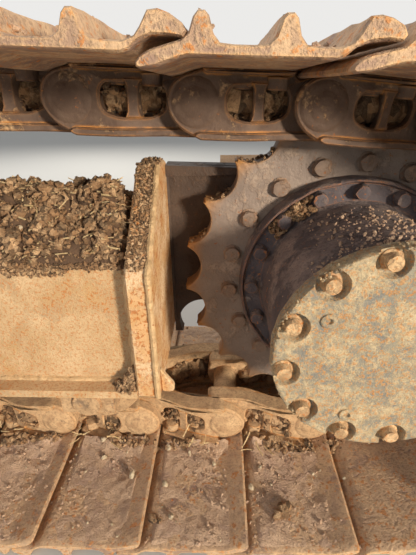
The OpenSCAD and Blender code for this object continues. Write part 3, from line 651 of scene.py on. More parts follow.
def everyMix(*lists):
    # Every mix of one entry from each list, as one flat array for each.
    return (q.ravel() for q in np.meshgrid(*lists, indexing="ij"))


makePiece("trackShoes", [makeShoes(shoe)], "shoePlate", ["track_shoes"])
k, a, y = everyMix(every, shoe["boltAlong"], shoe["boltAcross"])
seats = atLinks(k, a, shoe["plate"] + 0 * a, y)
makePiece("shoeBolts", [boltHeads(seats, outThree[k], 0.027, 0.013, 0.0, 3, 0.3, inboard)], "boltSteel")

# ---- links, pins and bushings ----
link = {
    "thick": 0.026, "innerMid": 0.068, "outerMid": 0.1010, "bevel": 0.003,
    "outline": [
        (-30, -51), (60, -51), (120, -51), (178, -51, 5), (196, -46), (214, -36), (228, -20), (234, 0), (228, 22),
        (212, 36), (188, 42), (176, 45, 2), (44, 45, 2), (34, 34, 6), (20, 40), (-8, 43), (-32, 32), (-45, 8),
        (-44, -16), (-36, -34),
    ],
    "window": (94.5, 2, 48, 27), "pillar": [(-12, -27), (-9.5, -18), (-9, 0), (-9.5, 18), (-13, 27)],
    "rail": [(-33, -52), (181, -52), (191, -46.5), (185, -40), (-37, -40), (-41, -46)],
    "seat": [(40, 46), (180, 46), (176, 39), (46, 39)], "railHalf": 0.021, "seatHalf": 0.031, "step": (0.030, 0.130),
    "nuts": (0.068, 0.121),
}


def acrossLink(g, side, a, y):
    # A link steps from the inner plane at its bushing end to the outer plane at its pin end along a smooth curve.
    s = np.clip((a - g["step"][0]) / (g["step"][1] - g["step"][0]), 0, 1)
    return side * (g["innerMid"] + (g["outerMid"] - g["innerMid"]) * s * s * (3 - 2 * s) + y)


def ringChunk(g, side, rings, closeM):
    a, c = (np.concatenate([r[:, i] for r, _ in rings]) for i in (0, 1))
    y = np.concatenate([np.full(len(r), h) for r, h in rings])
    faces = gridFaces(len(rings), len(rings[0][0]), closeM=closeM, closeN=True, capM=not closeM)
    return ontoLinks(a, c, acrossLink(g, side, a, y)), faces


def makeLinks(g, side):
    # The plate is a ring: over its outline, round the window and back. Pillar, rail head and shoe seat join it.
    o = rounded(g["outline"], 12, 4)
    cx, cz, hw, hh = g["window"]
    ang = np.arctan2((o[:, 1] - cz) * hw, (o[:, 0] - cx) * hh)
    w = np.stack([c + h * np.sign(q) * np.abs(q) ** 0.7
                  for c, h, q in ((cx, hw, np.cos(ang)), (cz, hh, np.sin(ang)))], 1) / 1000
    o = o / 1000
    b, t = g["bevel"], g["thick"] / 2
    mid = 0.5 * o + 0.5 * w
    rings = [(inset(o, b), -t), (o, -t + b), (o, t - b), (inset(o, b), t), (mid, t - 0.001), (inset(w, -b), t),
             (w, t - b), (w, -t + b), (inset(w, -b), -t), (mid, -t + 0.001)]
    out = [ringChunk(g, side, rings, True)]
    left = np.array(g["pillar"], float)
    post = np.concatenate([left, left[::-1] * [-1, 1]]) / 1000 + np.array([cx, cz]) / 1000
    rail, seat = (refined(rounded(g[q], 4, 3) / 1000, 0.02) for q in ("rail", "seat"))
    for shape, half in ((post, t - 0.0008), (rail, g["railHalf"]), (seat, g["seatHalf"])):
        small = inset(shape, 0.0022)
        rings = [(small, -half), (shape, -half + b), (shape, half - b), (small, half)]
        out.append(ringChunk(g, side, rings, False))
    return out


def refined(outline, step):
    # A closed outline with no side longer than step.
    return stretch([*outline, outline[0]], step)[:-1]


def onPins(profile, steps, side=1):
    # A profile of [radius, y] turned about every pin.
    pts, faces = lathe(profile, (0, 0, 0), steps)
    return pts[None] * np.array([1, side, 1]) + np.stack([pins[:, 0], 0 * pins[:, 0], pins[:, 1]], 1)[:, None], faces


makePiece("chainLinks", [chunk for side in (-1, 1) for chunk in makeLinks(link, side)], "linkForging",
          ["outer_links", "inner_links"])
bushing = [(0.012, -0.060), (0.0285, -0.060), (0.0292, -0.055), (0.0288, -0.03), (0.0284, 0.0), (0.0288, 0.03),
           (0.0292, 0.055), (0.0285, 0.060), (0.012, 0.060)]
pinEnd = [(0.040, -0.104), (0.0375, -0.1125), (0.033, -0.1160), (0.026, -0.1175), (0.0225, -0.1172), (0.0205, -0.1183),
          (0.013, -0.1198), (0.005, -0.1203)]
makePiece("chainPins", [onPins(bushing, 24), onPins(pinEnd, 26), onPins(pinEnd, 26, -1)],
          "linkForging", ["bushings"])
k, a, side = everyMix(every, link["nuts"], (-1, 1))
seats = atLinks(k, a, 0.0395 + 0 * a, side * 0.0865)
makePiece("shoeNuts", [boltHeads(seats, -outThree[k], 0.031, 0.021, 0.0, 4, 0.45, inboard)], "linkForging")
print("stage: chain")

# ---- sprocket ----
sprocket = {
    "bore": 0.201, "tip": 0.3235, "gapR": 0.048, "seat": 0.0325, "half": 0.022, "webBack": 0.002, "dish": 0.262,
    "gap": -64.015, "bevel": 0.005, "nick": 0.0016, "boltRing": 0.231, "bolts": 18, "firstBolt": 66.5,
}


def toothRadius(theta, s):
    # Distance of the rim from the axis: round gaps of radius gapR, cut off at the tip circle, with worn corners.
    step = 2 * np.pi / chainPlan["teeth"]
    f = (theta - math.radians(s["gap"]) + step / 2) % step - step / 2
    d = pinCircle - s["seat"] + s["gapR"]
    under = np.maximum(s["gapR"] ** 2 - (d * np.sin(f)) ** 2, 0)
    r = np.where(under > 0, d * np.cos(f) - np.sqrt(under), s["tip"])
    return np.minimum(r, s["tip"] - 0.004 * np.clip((np.abs(f) / step - 0.40) / 0.1, 0, 1) ** 2)


def makeSprocket(s):
    # Rings from the bore out over the front face, round the toothed edge, and back to the bore behind.
    n = chainPlan["teeth"] * 30
    t = np.arange(n) * 2 * np.pi / n
    edge = toothRadius(t, s)
    h, b, dish, web = s["half"], s["bevel"], s["dish"], -s["webBack"]
    half = dish * 0.6 + (edge - b) * 0.4
    nick, nickY = edge - s["nick"], h - 0.0014
    rows = [(s["bore"], -h), (0.214, -h), (0.231, -h), (0.247, -h), (dish, -h), (half, -h), (edge - b, -h),
            (nick, -nickY), (edge, -h + b), (edge - 0.001, 0.0), (edge, h - b), (nick, nickY), (edge - b, h),
            (half, h), (dish + 0.002, h), (dish, h - 0.002), (dish - 0.001, web), (0.231, web), (s["bore"], web)]
    r = np.stack([q + 0 * t for q, _ in rows])
    y = np.array([q for _, q in rows])[:, None]
    p = around(r, t, y, axle)
    n = cloudNoise(p, 0.05, 3, 9)
    p[..., 1] -= np.where(y < -h * 0.9, 0.0008 * n, 0)
    return p.reshape(-1, 3), gridFaces(len(rows), len(t), closeM=True, closeN=True)


def ringOf(count, radius, y, first=0.0):
    return around(radius, np.radians(first + np.arange(count) * 360 / count), y, axle)


makePiece("sprocketWheel", [makeSprocket(sprocket)], "sprocketCasting", ["sprocket"])
seats = ringOf(sprocket["bolts"], sprocket["boltRing"], -sprocket["half"], sprocket["firstBolt"])
makePiece("sprocketBolts", [boltHeads(seats, outboard, 0.028, 0.013, 0.0185, 5, 0.5)], "sprocketBolt",
          ["sprocket_bolts"])

# ---- final drive: flange, drum and cover ----
drive = {"flange": 0.209, "lip": 0.202, "face": -0.060, "recess": -0.051, "drum": 0.165, "back": -0.261,
         "bolts": 16, "boltRing": 0.187}
cover = {"radius": 0.172, "face": -0.287, "back": -0.2612, "boltRing": 0.155, "bolts": 12, "first": 10.0,
         "pocket": 0.0235, "depth": 0.012, "plugs": ((-0.0986, 0.0651), (-0.0504, -0.1067))}
d, c = drive, cover
caseProfile = [
    (0.120, -0.0222), (0.206, -0.0222), (d["flange"], -0.026), (d["flange"], -0.044), (0.2085, -0.057),
    (0.2065, d["face"]), (0.2040, d["face"]), (d["lip"], -0.057), (0.2005, d["recess"]), (0.190, d["recess"]),
    (0.178, d["recess"]), (0.1695, -0.0525), (0.1665, -0.057), (d["drum"], -0.066), (0.1650, -0.120),
    (0.1645, -0.180), (0.1655, -0.246), (0.1668, -0.2505), (0.1668, d["back"]), (0.120, d["back"]),
]
makePiece("planetaryCase", [lathe(stretch(caseProfile, 0.009, math.ceil), axle, 144, 0.0011, 0.03, 12)], "caseIron",
          ["planetary_case"])
seats = ringOf(d["bolts"], d["boltRing"], d["recess"])
makePiece("caseBolts", [boltHeads(seats, outboard, 0.0235, 0.0195, 0.0135, 6, 0.75)], "caseIron", ["case_bolts"])


def makeCover(c):
    # A disc on a polar grid: its face sinks by the pocket depth wherever a bolt's pocket reaches, also at the rim.
    t = np.arange(660) * 2 * np.pi / 660
    radii = np.concatenate([np.linspace(0.004, 0.128, 22), np.linspace(0.1302, c["radius"] - 0.0035, 33),
                            [c["radius"] - 0.0016, c["radius"] - 0.0003]])
    r, th = np.meshgrid(radii, t, indexing="ij")
    x, z = r * np.cos(th), r * np.sin(th)
    near = np.full_like(x, 1.0)
    for bx, _, bz in ringOf(c["bolts"], c["boltRing"], 0, c["first"]) - axle:
        near = np.minimum(near, np.hypot(x - bx, z - bz))
    sink = c["depth"] * np.clip((c["pocket"] - near) / 0.0026, 0, 1)
    edge = np.interp(r, [c["radius"] - 0.0045, c["radius"] - 0.0016, c["radius"]], [0, 0.0012, 0.0042])
    p = np.stack([x, x, z], -1)
    outer = np.clip((r - 0.125) / 0.03, 0, 1)
    rough = 0.00045 * cloudNoise(p, 0.02, 3, 21) + 0.0022 * np.clip(cloudNoise(p, 0.03, 3, 22) - 0.15, 0, 1) * outer
    face = c["face"] + np.maximum(sink, edge) - rough
    side = np.stack([around(c["radius"], t, y, (0, 0, 0)) for y in (0, 0.01, 0.02)])
    lump = 1 + 0.009 * np.clip(cloudNoise(side, 0.025, 3, 23), -0.4, 1)[..., None] * np.array([1, 0, 1])
    walls = side * lump
    walls[..., 1] = np.array([c["back"] - 0.015, c["back"] - 0.007, c["back"]])[:, None]
    walls[0, :, 1] = np.maximum(walls[0, :, 1], face[-1] + 0.001)
    p = np.concatenate([np.stack([x, face, z], -1), walls]) + axle
    return p.reshape(-1, 3), gridFaces(len(p), len(t), closeN=True, capM=True)


makePiece("driveCover", [makeCover(cover)], "coverCasting", ["drive_cover"])
seats = ringOf(c["bolts"], c["boltRing"], c["face"] + c["depth"], c["first"])
makePiece("coverBolts", [boltHeads(seats, outboard, 0.0212, 0.0170, 0.0155, 7, 0.26)], "boltSteel", ["cover_bolts"])
plugRing = [(0.0115, -0.2865), (0.0110, -0.2895), (0.0095, -0.2905), (0.0060, -0.2905), (0.0050, -0.2895),
            (0.0044, -0.2865), (0.001, -0.2862)]
makePiece("coverPlugs", [lathe(plugRing, (axisX + x, 0, axisZ + z), 24) for x, z in c["plugs"]], "coverCasting")
print("stage: final drive")

# ---- frame: end plate, weld beads, flange edges ----
box = {"web": 0.171, "foot": 0.2593, "shoulder": 0.4943, "ridge": 0.5643, "ridgeY": 0.040, "flange": 0.205,
       "crest": 0.6333, "low": 0.2433, "front": -1.1598, "end": 1.2342, "plate": 1.2772}
b = box
endPlate = [(-b["flange"], 0.2463), (b["flange"], 0.2463), (b["flange"], b["shoulder"]), (b["ridgeY"], b["crest"]),
            (-b["ridgeY"], b["crest"]), (-b["flange"], b["shoulder"])]


def onFloor(x, y):
    # Points of a plan, at height 0.
    return np.stack([x, y, 0 * x], -1)


def dressedPlate(outline, low, high, bevel, plane, step=0.012, wave=0.0007):
    # A plate whose outline is wavy and nicked, like flame-cut steel.
    o = refined(rounded(outline, 0.006, 3), step)
    n = cloudNoise(onFloor(*o.T), 0.03, 3, 30)
    return plateChunk(inset(o, wave * (1 + 2 * n)[:, None]), low, high, bevel, plane)


makePiece("endPlate", [dressedPlate(endPlate, b["end"], b["plate"], 0.004, "yz")], "plateEdge", ["drive_end_plate"])
beads = []
for s in (-1, 1):
    web, ridge = s * b["web"], s * b["ridgeY"]
    alongFoot = [(b["front"], web, b["foot"]), (b["end"], web, b["foot"])]
    upEnds = [[(x, web, b["foot"]), (x, web, b["shoulder"]), (x, ridge, b["ridge"])] for x in (b["end"], b["front"])]
    for path, r in ((alongFoot, 0.0065), (upEnds[0], 0.006), (upEnds[1], 0.006)):
        beads.append(bead(path, r, 0.07, int(abs(path[0][0]) * 100) + s, 0.006))
edge = [(b["plate"] - 0.004, y * 0.996, z) for y, z in (endPlate[0], endPlate[5], endPlate[4])]
beads.append(bead(edge, 0.0055, 0.10, 31))
# mud has filled the corner beside the end plate
fillet = [(b["end"] + 0.002, -b["web"] - 0.004, z) for z in (0.263, 0.30, 0.36, 0.42, 0.488)]
beads.append(tube(stretch(fillet, 0.008), 0.0125, 10, 0.16, 36))
makePiece("frameWelds", beads, "weldSteel")
joint = [bead([(b["plate"], y, 0.262), (b["plate"], y, 0.612)], 0.006, 0.08, 32, 0.006) for y in (0.0455, 0.0765)]
# the bracket's welds take its paint, dark as painted shade
makePiece("bracketWelds", joint, "bracketShadedPaint")
foot = b["low"] + 0.004
gusset = [(b["plate"], foot), (1.300, foot), (1.303, 0.262), (b["plate"], 0.300)]
makePiece("endGusset", [dressedPlate(gusset, -0.190, -0.178, 0.002, "xz", 0.008)], "plateEdge")
print("stage: frame plates and welds")

# ---- rollers, idler, recoil unit ----
rollers = {
    "x": (1.1302, 0.7636, 0.3969, 0.0302, -0.3365, -0.7031, -1.0698), "z": 0.2133,
    "profile": [
        (0.0275, 0.134), (0.060, 0.1345), (0.088, 0.134), (0.0905, 0.131), (0.094, 0.1255), (0.0945, 0.1235),
        (0.0925, 0.1205), (0.081, 0.1185), (0.0792, 0.116), (0.0788, 0.085), (0.0790, 0.056), (0.0775, 0.0495),
        (0.0715, 0.044), (0.0695, 0.036), (0.0700, 0.0),
    ],
}


def mirrored(half):
    # A profile of [radius, y] and its mirror image; a point on the middle plane counts once.
    return [*half, *[(r, -y) for r, y in half[::-1] if y]]


both = mirrored(rollers["profile"])
makePiece("trackRollers", [lathe(both, (x, 0, rollers["z"]), 56, 0.0005, 0.03, 40 + i)
                           for i, x in enumerate(rollers["x"])], "rollerIron",
          [f"track_roller_{i}" for i in range(1, 8)])
carriers = {
    "x": (0.63424, -0.54576), "z": 0.6563,
    "profile": [
        (0.0275, 0.1178), (0.066, 0.1178), (0.0695, 0.1150), (0.0700, 0.108), (0.0696, 0.080), (0.0698, 0.050),
        (0.0665, 0.0445), (0.0605, 0.042), (0.0600, 0.0), (0.0605, -0.042), (0.0665, -0.0445), (0.0698, -0.050),
        (0.0696, -0.085), (0.0698, -0.110), (0.0690, -0.1150), (0.0650, -0.1178), (0.0500, -0.1178),
        (0.0480, -0.1160), (0.0300, -0.1160), (0.0275, -0.1178),
    ],
}
for n, x in zip(("Rear", "Front"), carriers["x"]):
    makePiece("carrierRoller" + n, [lathe(carriers["profile"], (x, 0, carriers["z"]), 56, 0.0005, 0.03, 50)],
              "rollerIron", ["carrier_roller_" + n.lower()])
seats = [around(0.040, np.arange(4) * np.pi / 2 + 0.6, -0.1160, (x, 0, carriers["z"])) for x in carriers["x"]]
makePiece("carrierBolts", [boltHeads(np.concatenate(seats), outboard, 0.013, 0.006, 0.0, 9)], "boltSteel")
idler = {
    "x": -1.6298, "z": 0.412, "ribHalf": 0.009, "ribBevel": 0.003,
    "rib": [(0.092, 0.030), (0.092, 0.054), (0.150, 0.044), (0.236, 0.070), (0.236, 0.028)],
    "half": [
        (0.0453, 0.0618), (0.070, 0.062), (0.093, 0.0615), (0.0965, 0.058), (0.0980, 0.044), (0.106, 0.034),
        (0.150, 0.0315), (0.205, 0.0290), (0.222, 0.030), (0.2300, 0.038), (0.2320, 0.060), (0.2330, 0.100),
        (0.2355, 0.1040), (0.2600, 0.1040), (0.2637, 0.1000), (0.2632, 0.080), (0.2634, 0.048), (0.2640, 0.0400),
        (0.2700, 0.0380), (0.2815, 0.0330), (0.2837, 0.0290),
    ],
}
rim = refined(rounded(idler["rib"], 0.004, 3), 0.02)
small, far, near = inset(rim, 0.002), idler["ribHalf"], idler["ribHalf"] - idler["ribBevel"]
centre, ribs = (idler["x"], 0, idler["z"]), []
for a in np.arange(6) * np.pi / 3 + 0.3:
    for s in (-1, 1):
        for o, h in ((small, -far), (rim, -near), (rim, near), (small, far)):
            x, z = o[:, 0] * np.cos(a) - h * np.sin(a), o[:, 0] * np.sin(a) + h * np.cos(a)
            ribs.append(np.stack([x, s * o[:, 1], z], 1) + centre)
ribs = np.concatenate(ribs).reshape(-1, 4 * len(rim), 3)
makePiece("idlerWheel", [lathe(mirrored(idler["half"]), centre, 120, 0.0006, 0.04, 60),
                         *[(rib, gridFaces(4, len(rim), closeN=True, capM=True)) for rib in ribs]], "rollerIron",
          ["idler_wheel"])
corners = [(idler["x"] + dx, idler["z"] + dz) for dx in (-0.054, 0.054) for dz in (-0.042, 0.042)]
heads = [boltHeads([(x, s * 0.1600, z) for x, z in corners], (0, s, 0), 0.022, 0.012, 0.016, 10, 0.3) for s in (-1, 1)]
makePiece("idlerBlockBolts", heads, "boltSteel")
spring = {"from": -1.0815, "to": -0.3019, "end": 0.045, "radius": 0.0600, "wire": 0.0145, "turns": 17}
a, b = spring["from"], spring["to"]
t = np.linspace(0, 1, spring["turns"] * 26)
turn = t * spring["turns"] * 2 * np.pi
coil = np.stack([a + spring["end"] + t * (b - a - 2 * spring["end"]), spring["radius"] * np.cos(turn),
                 idler["z"] + spring["radius"] * np.sin(turn)], 1)


def alongX(profile, y, z, steps=48, rough=0.0004):
    # A lathe whose axis lies along X: profile of [radius, x].
    pts, faces = lathe(profile, (0, 0, 0), steps, rough)
    return pts[:, [1, 0, 2]] + np.array([0, y, z]), faces


rod = [
    (0.010, a), (0.070, a), (0.0745, a + 0.004), (0.0745, a + 0.026), (0.070, a + 0.030), (0.036, a + 0.031),
    (0.034, a + 0.20), (0.034, b - 0.031), (0.070, b - 0.030), (0.0745, b - 0.026), (0.0745, b - 0.004), (0.070, b),
    (0.010, b),
]
makePiece("recoilUnit", [tube(coil, spring["wire"], 10), alongX(rod, 0, idler["z"])], "motorEnamel", ["recoil_unit"])
print("stage: rollers and idler")

# ---- travel motor and guard ----
motor = [
    (0.020, 0.0765), (0.168, 0.0765), (0.1715, 0.080), (0.1715, 0.0905), (0.168, 0.0938), (0.118, 0.0945),
    (0.1125, 0.100), (0.1115, 0.118), (0.1080, 0.121), (0.1080, 0.129), (0.1115, 0.132), (0.1115, 0.150),
    (0.1080, 0.153), (0.1080, 0.161), (0.1115, 0.164), (0.1118, 0.196), (0.1085, 0.2035), (0.086, 0.2042),
    (0.0818, 0.208), (0.0815, 0.2155), (0.020, 0.2158),
]
makePiece("travelMotor", [lathe(motor, axle, 96, 0.0005, 0.03, 70)], "motorEnamel", ["travel_motor"])
makePiece("motorBolts", [boltHeads(ringOf(14, 0.149, 0.0938, 8), inboard, 0.022, 0.013, 0.016, 11),
                         boltHeads(ringOf(8, 0.098, 0.2040, 22), inboard, 0.015, 0.009, 0.0, 12)], "boltSteel")
valve = {"near": 0.2160, "far": 0.2710, "fittings": ((-0.045, 0.365), (0.040, 0.365), (-0.045, 0.445), (0.020, 0.430)),
         "outline": [(-0.075, 0.3343), (0.075, 0.3343), (0.075, 0.452), (0.048, 0.4843), (-0.075, 0.4843)]}
o = refined(rounded([(axisX + x, z) for x, z in valve["outline"]], 0.008, 4), 0.012)
fittings = [boltHeads([(axisX + x, valve["far"], z)], inboard, 0.030, 0.0078, 0.019, 13) for x, z in valve["fittings"]]
makePiece("motorValve", [plateChunk(o, valve["near"], valve["far"], 0.004, "xz"), *fittings], "motorEnamel",
          ["motor_valve"])
seats = [(x, 0.300, z) for x, z in ((1.412, 0.575), (1.589, 0.575), (1.766, 0.575), (1.412, 0.275), (1.766, 0.275))]
makePiece("guardBolts", [boltHeads(seats, inboard, 0.022, 0.0068, 0.017, 14, 0.2)], "boltSteel")

# ---- mounting pads: gussets and weld beads ----
pad = {"x": (0.67424, -0.56576), "half": 0.1302, "near": 0.1712, "far": 0.2098, "beads": (0.267, 0.457),
       "gussets": (0.300, 0.424), "gussetHalf": 0.006}
parts, gussets = [], []
for cx in pad["x"]:
    for z in pad["beads"]:
        for y, r, seed in ((pad["near"] + 0.0008, 0.0055, 33), (pad["far"] - 0.0003, 0.0050, 34)):
            parts.append(bead([(cx - 0.128, y, z), (cx + 0.128, y, z)], r, 0.08, seed))
    for s in (-1, 1):
        x = cx + s * pad["half"]
        parts.append(bead([(x, pad["near"] + 0.0008, 0.269), (x, pad["near"] + 0.0008, 0.455)], 0.0055, 0.08, 35))
        o = [(x, pad["near"]), (x, pad["far"]), (x + s * 0.058, pad["far"]), (x + s * 0.010, pad["near"])]
        o = refined(rounded(o, 0.004, 3), 0.01)
        for z in pad["gussets"]:
            gussets.append(plateChunk(o, z - pad["gussetHalf"], z + pad["gussetHalf"], 0.0015, "xy"))
makePiece("padWelds", parts, "weldSteel")
makePiece("padGussets", gussets, "framePaint")

# ---- access cover, on its hinge ----
access = {"x": -0.44576, "z": 0.3743, "half": 0.105, "low": 0.3094, "near": -0.1792, "far": -0.1868, "hingeY": -0.183,
          "hingeZ": 0.4433, "leaf": 0.0175, "barrel": 0.0178}
h, hz = access, access["hingeZ"]


def oblong(x, half, low, high):
    # Corners of an upright rectangle on the web.
    return [(x - half, low), (x + half, low), (x + half, high), (x - half, high)]


o = refined(rounded(oblong(h["x"], h["half"], h["low"], hz - 0.0122), 0.010, 5), 0.012)
chunks = [plateChunk(o, h["far"], h["near"], 0.0015, "xz")]
for x in (h["x"] - 0.060, h["x"] + 0.060):
    leaf = rounded(oblong(x, h["leaf"], hz - 0.030, hz), 0.002, 3)
    chunks.append(plateChunk(leaf, h["far"], h["near"], 0.001, "xz"))
    e = h["barrel"]
    barrel = [(0.0051, x - e), (0.0072, x - e), (0.0079, x - e + 0.001), (0.0079, x + e - 0.001), (0.0072, x + e),
              (0.0051, x + e)]
    chunks.append(alongX(barrel, h["hingeY"], hz, 24, rough=0.0))
handle = rounded([(-0.060, -0.1862), (-0.060, -0.2055), (0.060, -0.2055), (0.060, -0.1862)], 0.010, 6)[3:-3]
chunks.append(tube([(h["x"] + x, y, h["z"] - 0.042) for x, y in handle], 0.0048, 10))
makePiece("accessCover", chunks, "framePaint", ["access_cover"], body="access_cover")

# behind it, in the gap of 8 mm, sits the tension valve: a flange, its hexagon with a nipple, and two small bolts
flange = [(0.0280, -0.1700), (0.0280, -0.1734), (0.0272, -0.1742), (0.0090, -0.1742), (0.0080, -0.1738),
          (0.0010, -0.1738)]
nipple = [(0.0034, -0.1765), (0.0034, -0.1772), (0.0046, -0.1778), (0.0036, -0.1785), (0.0008, -0.1786)]
valveAt = (h["x"], 0, h["z"])
makePiece("valveFlange", [lathe(flange, valveAt, 48)], "framePaint")
heads = [lathe(nipple, valveAt, 20)]
for dx, r, out in ((0, 0.0105, -0.1770), (-0.020, 0.0048, -0.1768), (0.020, 0.0048, -0.1768)):
    t = np.arange(6) * np.pi / 3 + 0.3
    hexagon = np.stack([h["x"] + dx + r * np.cos(t), h["z"] + r * np.sin(t)], 1)
    heads.append(plateChunk(hexagon, out, -0.1736, 0.0006, "xz"))
makePiece("valveHeads", heads, "boltSteel")
print("stage: motor, pads and cover")

# ---- soil: the heap beside the end plate, clods, straw and stones ----
heap = {
    "from": 0.756, "to": 1.229, "near": -0.1712, "far": 0.030, "clods": 3000, "straws": 330,
    "profile": [
        (-0.1712, 0.4960), (-0.166, 0.5120), (-0.150, 0.5330), (-0.135, 0.5480), (-0.110, 0.5760), (-0.085, 0.6000),
        (-0.055, 0.5965), (-0.020, 0.5850), (0.012, 0.5720), (0.030, 0.5640),
    ],
}


def roof(y, ridge, eaves):
    # Height of a ridge strip with a slope on either side, down to the shoulder's height at y = eaves.
    away = np.clip(np.abs(y) - box["ridgeY"], 0, None)
    return ridge - away * (ridge - box["shoulder"]) / (eaves - box["ridgeY"])


def slopeAt(x, y):
    # The frame's top.
    return roof(y, box["ridge"], box["web"])


def plateTop(x, y):
    # The end plate's upper edges.
    return roof(y, box["crest"], box["flange"])


def heapAt(x, y):
    # Height of the heap: its profile, fading out at its far end and beside the end plate, with noise for clods.
    over = np.interp(y, *np.array(heap["profile"]).T) - slopeAt(x, y)
    ends = np.clip((x - heap["from"]) / 0.07, 0, 1) ** 0.6 * np.clip((heap["to"] - x) / 0.035, 0, 1) ** 0.5
    n = 0.012 * cloudNoise(onFloor(x, y), 0.06, 3, 80) + 0.008 * cloudNoise(onFloor(x, y), 0.020, 2, 81)
    inside = np.clip(np.minimum(y - heap["near"], heap["far"] - y) / 0.02, 0, 1)
    return slopeAt(x, y) + np.maximum(over * ends + n * inside * ends, -0.0015)


def makeHeap(h):
    # Cross-sections along X: the uneven top from the web's edge to beyond the ridge, and back along the frame.
    x, y = np.meshgrid(np.linspace(h["from"], h["to"], 130), np.linspace(h["near"], h["far"], 56), indexing="ij")
    top = np.stack([x, y, heapAt(x, y)], -1)
    yb = np.array([h["far"], -box["ridgeY"], h["near"]])
    low = np.stack(np.broadcast_arrays(x[:, :3], yb, slopeAt(0, yb) - 0.002), -1)
    return np.concatenate([top, low], 1).reshape(-1, 3), gridFaces(len(x), x.shape[1] + 3, closeN=True, capM=True)


def scatter(n, xr, yr, height, seed, sizes=(0.0016, 0.0075), power=2.2, keep=None):
    # Random places, their centres a quarter of their size above a height field, and most of them small; keep is
    # the threshold of a noise that thins them out.
    r = np.random.default_rng(seed)
    x, y = r.uniform(*xr, n), r.uniform(*yr, n)
    size = sizes[0] + (sizes[1] - sizes[0]) * r.uniform(0, 1, n) ** power
    if keep is not None:
        good = cloudNoise(onFloor(x, y), 0.09, 2, seed) > keep
        x, y, size = x[good], y[good], size[good]
    return np.stack([x, y, height(x, y) + size * 0.25], 1), size


def clods(name, balls, finish="looseSoil", autoAngle=20):
    makePiece(name, balls, finish, autoAngle=autoAngle)


# the heap's surface under the clods is painted shade, dark so that the gaps between clods read as shadow
makePiece("soilHeap", [makeHeap(heap)], "shadedSoil", ["soil_heap"], autoAngle=60)
places, size = scatter(heap["clods"], (0.765, 1.226), (-0.170, 0.020), heapAt, 82, (0.0022, 0.0105), 1.7)
big, bigSize = scatter(240, (0.775, 1.215), (-0.166, 0.0), heapAt, 87, (0.0075, 0.0155), 1.8)
clods("heapClods", [lumps(places, size, 83), lumps(big, bigSize, 88, 0.16, 0.6, 5, 10)])
n, r = 620, np.random.default_rng(89)
x = r.uniform(0.76, 1.222, n)
drop = 0.006 + 0.012 * np.clip(0.5 + cloudNoise(onFloor(x, 0 * x), 0.05, 3, 89), 0, 1.3)
size = r.uniform(0.0022, 0.0060, n)
spill = np.stack([x, heap["near"] - size * 0.15, box["shoulder"] + 0.006 - drop * r.uniform(0, 1, n)], 1)
clods("spiltClods", [lumps(spill, size, 90)])
places, size = scatter(heap["straws"], (0.78, 1.222), (-0.168, 0.0), heapAt, 84)
r = np.random.default_rng(85)
strawAt, strawTurn = [places + [0, 0, 0.004]], [r.uniform(0, np.pi, len(places))]
places, size = scatter(26, (0.78, 1.222), (-0.165, 0.0), heapAt, 86, (0.003, 0.0065))
stoneAt, stoneSize = [places + [0, 0, 0.002]], [size]


def dusting(name, n, xr, yr, height, seed, sizes=(0.001, 0.0055), keep=0.0, power=2.2, finish="looseSoil"):
    places, size = scatter(n, xr, yr, height, seed, sizes, power, keep)
    clods(name, [lumps(places, size, seed + 1)], finish)


dusting("frameCrumbs", 2600, (box["front"], 1.22), (-0.168, 0.168), slopeAt, 90)
dusting("plateCrumbs", 1300, (1.2365, 1.272), (-0.198, 0.10), plateTop, 92, (0.0012, 0.0050), -0.25, 2.6)
r = np.random.default_rng(94)
n = 260
spread = np.abs(r.normal(0, 0.55, n)).clip(0, 1.3)
turn = r.uniform(0, np.pi, n)
pile = np.stack([1.2305 - spread * 0.040 * np.sin(turn), -0.187 + spread * 0.017 * np.cos(turn),
                 0.2600 + np.clip(1 - spread, 0, 1) * 0.044 * r.uniform(0.1, 1, n)], 1)
clods("footClods", [lumps(pile, r.uniform(0.0030, 0.0085, n), 95)])

# crumbs on the drum and in the sprocket's upward gaps
n = 560
turn = np.radians(r.normal(84, 24, n).clip(25, 165))
yDrum = -0.252 + 0.170 * r.uniform(0, 1, n) ** 2.1
size = 0.0012 + 0.0030 * r.uniform(0, 1, n) ** 2.4
drumCrumbs = around(drive["drum"] + 0.0005 + size * 0.2, turn, yDrum, axle)
n = 260
turn = np.radians(r.uniform(30, 178, n))
radius, step = toothRadius(turn, sprocket), 1e-3
slope = (toothRadius(turn + step, sprocket) - toothRadius(turn - step, sprocket)) / (2 * step * radius)
facing = (np.sin(turn) - slope * np.cos(turn)) / np.hypot(1, slope)
good = (facing > 0.55) & (radius < 0.316)
n = int(good.sum())
grit = 0.0022 + 0.004 * r.uniform(0, 1, n)
gapGravel = around(radius[good] + 0.001, turn[good], r.uniform(-0.019, 0.019, n), axle)
clods("driveCrumbs", [lumps(drumCrumbs, size, 97)], "shoeMud")
# dried clay standing in a broken ring on the cover's rim
turn = r.uniform(-np.pi, np.pi, 900)
turn = turn[cloudNoise(around(0.2, turn, 0, (0, 0, 0)), 0.05, 3, 99) > 0.02]
n = len(turn)
rimClay = around(r.uniform(0.1672, 0.1722, n), turn, r.uniform(-0.2865, -0.266, n), axle)
clods("rimClay", [lumps(rimClay, r.uniform(0.0014, 0.0046, n), 101)], "coverCasting")
# clods caught in the recess between the drum and the flange's lip
n = 190
turn = np.radians(np.where(r.uniform(0, 1, n) < 0.7, r.normal(124, 4.5, n), r.normal(139, 2.5, n)))
pack = around(r.uniform(0.171, 0.199, n), turn, r.uniform(-0.064, -0.050, n), axle)
clods("recessClods", [lumps(pack, r.uniform(0.0025, 0.0065, n), 103)])
clods("toothCrumbs", [lumps(gapGravel, grit, 98)])
print("stage: soil on the frame and drive")

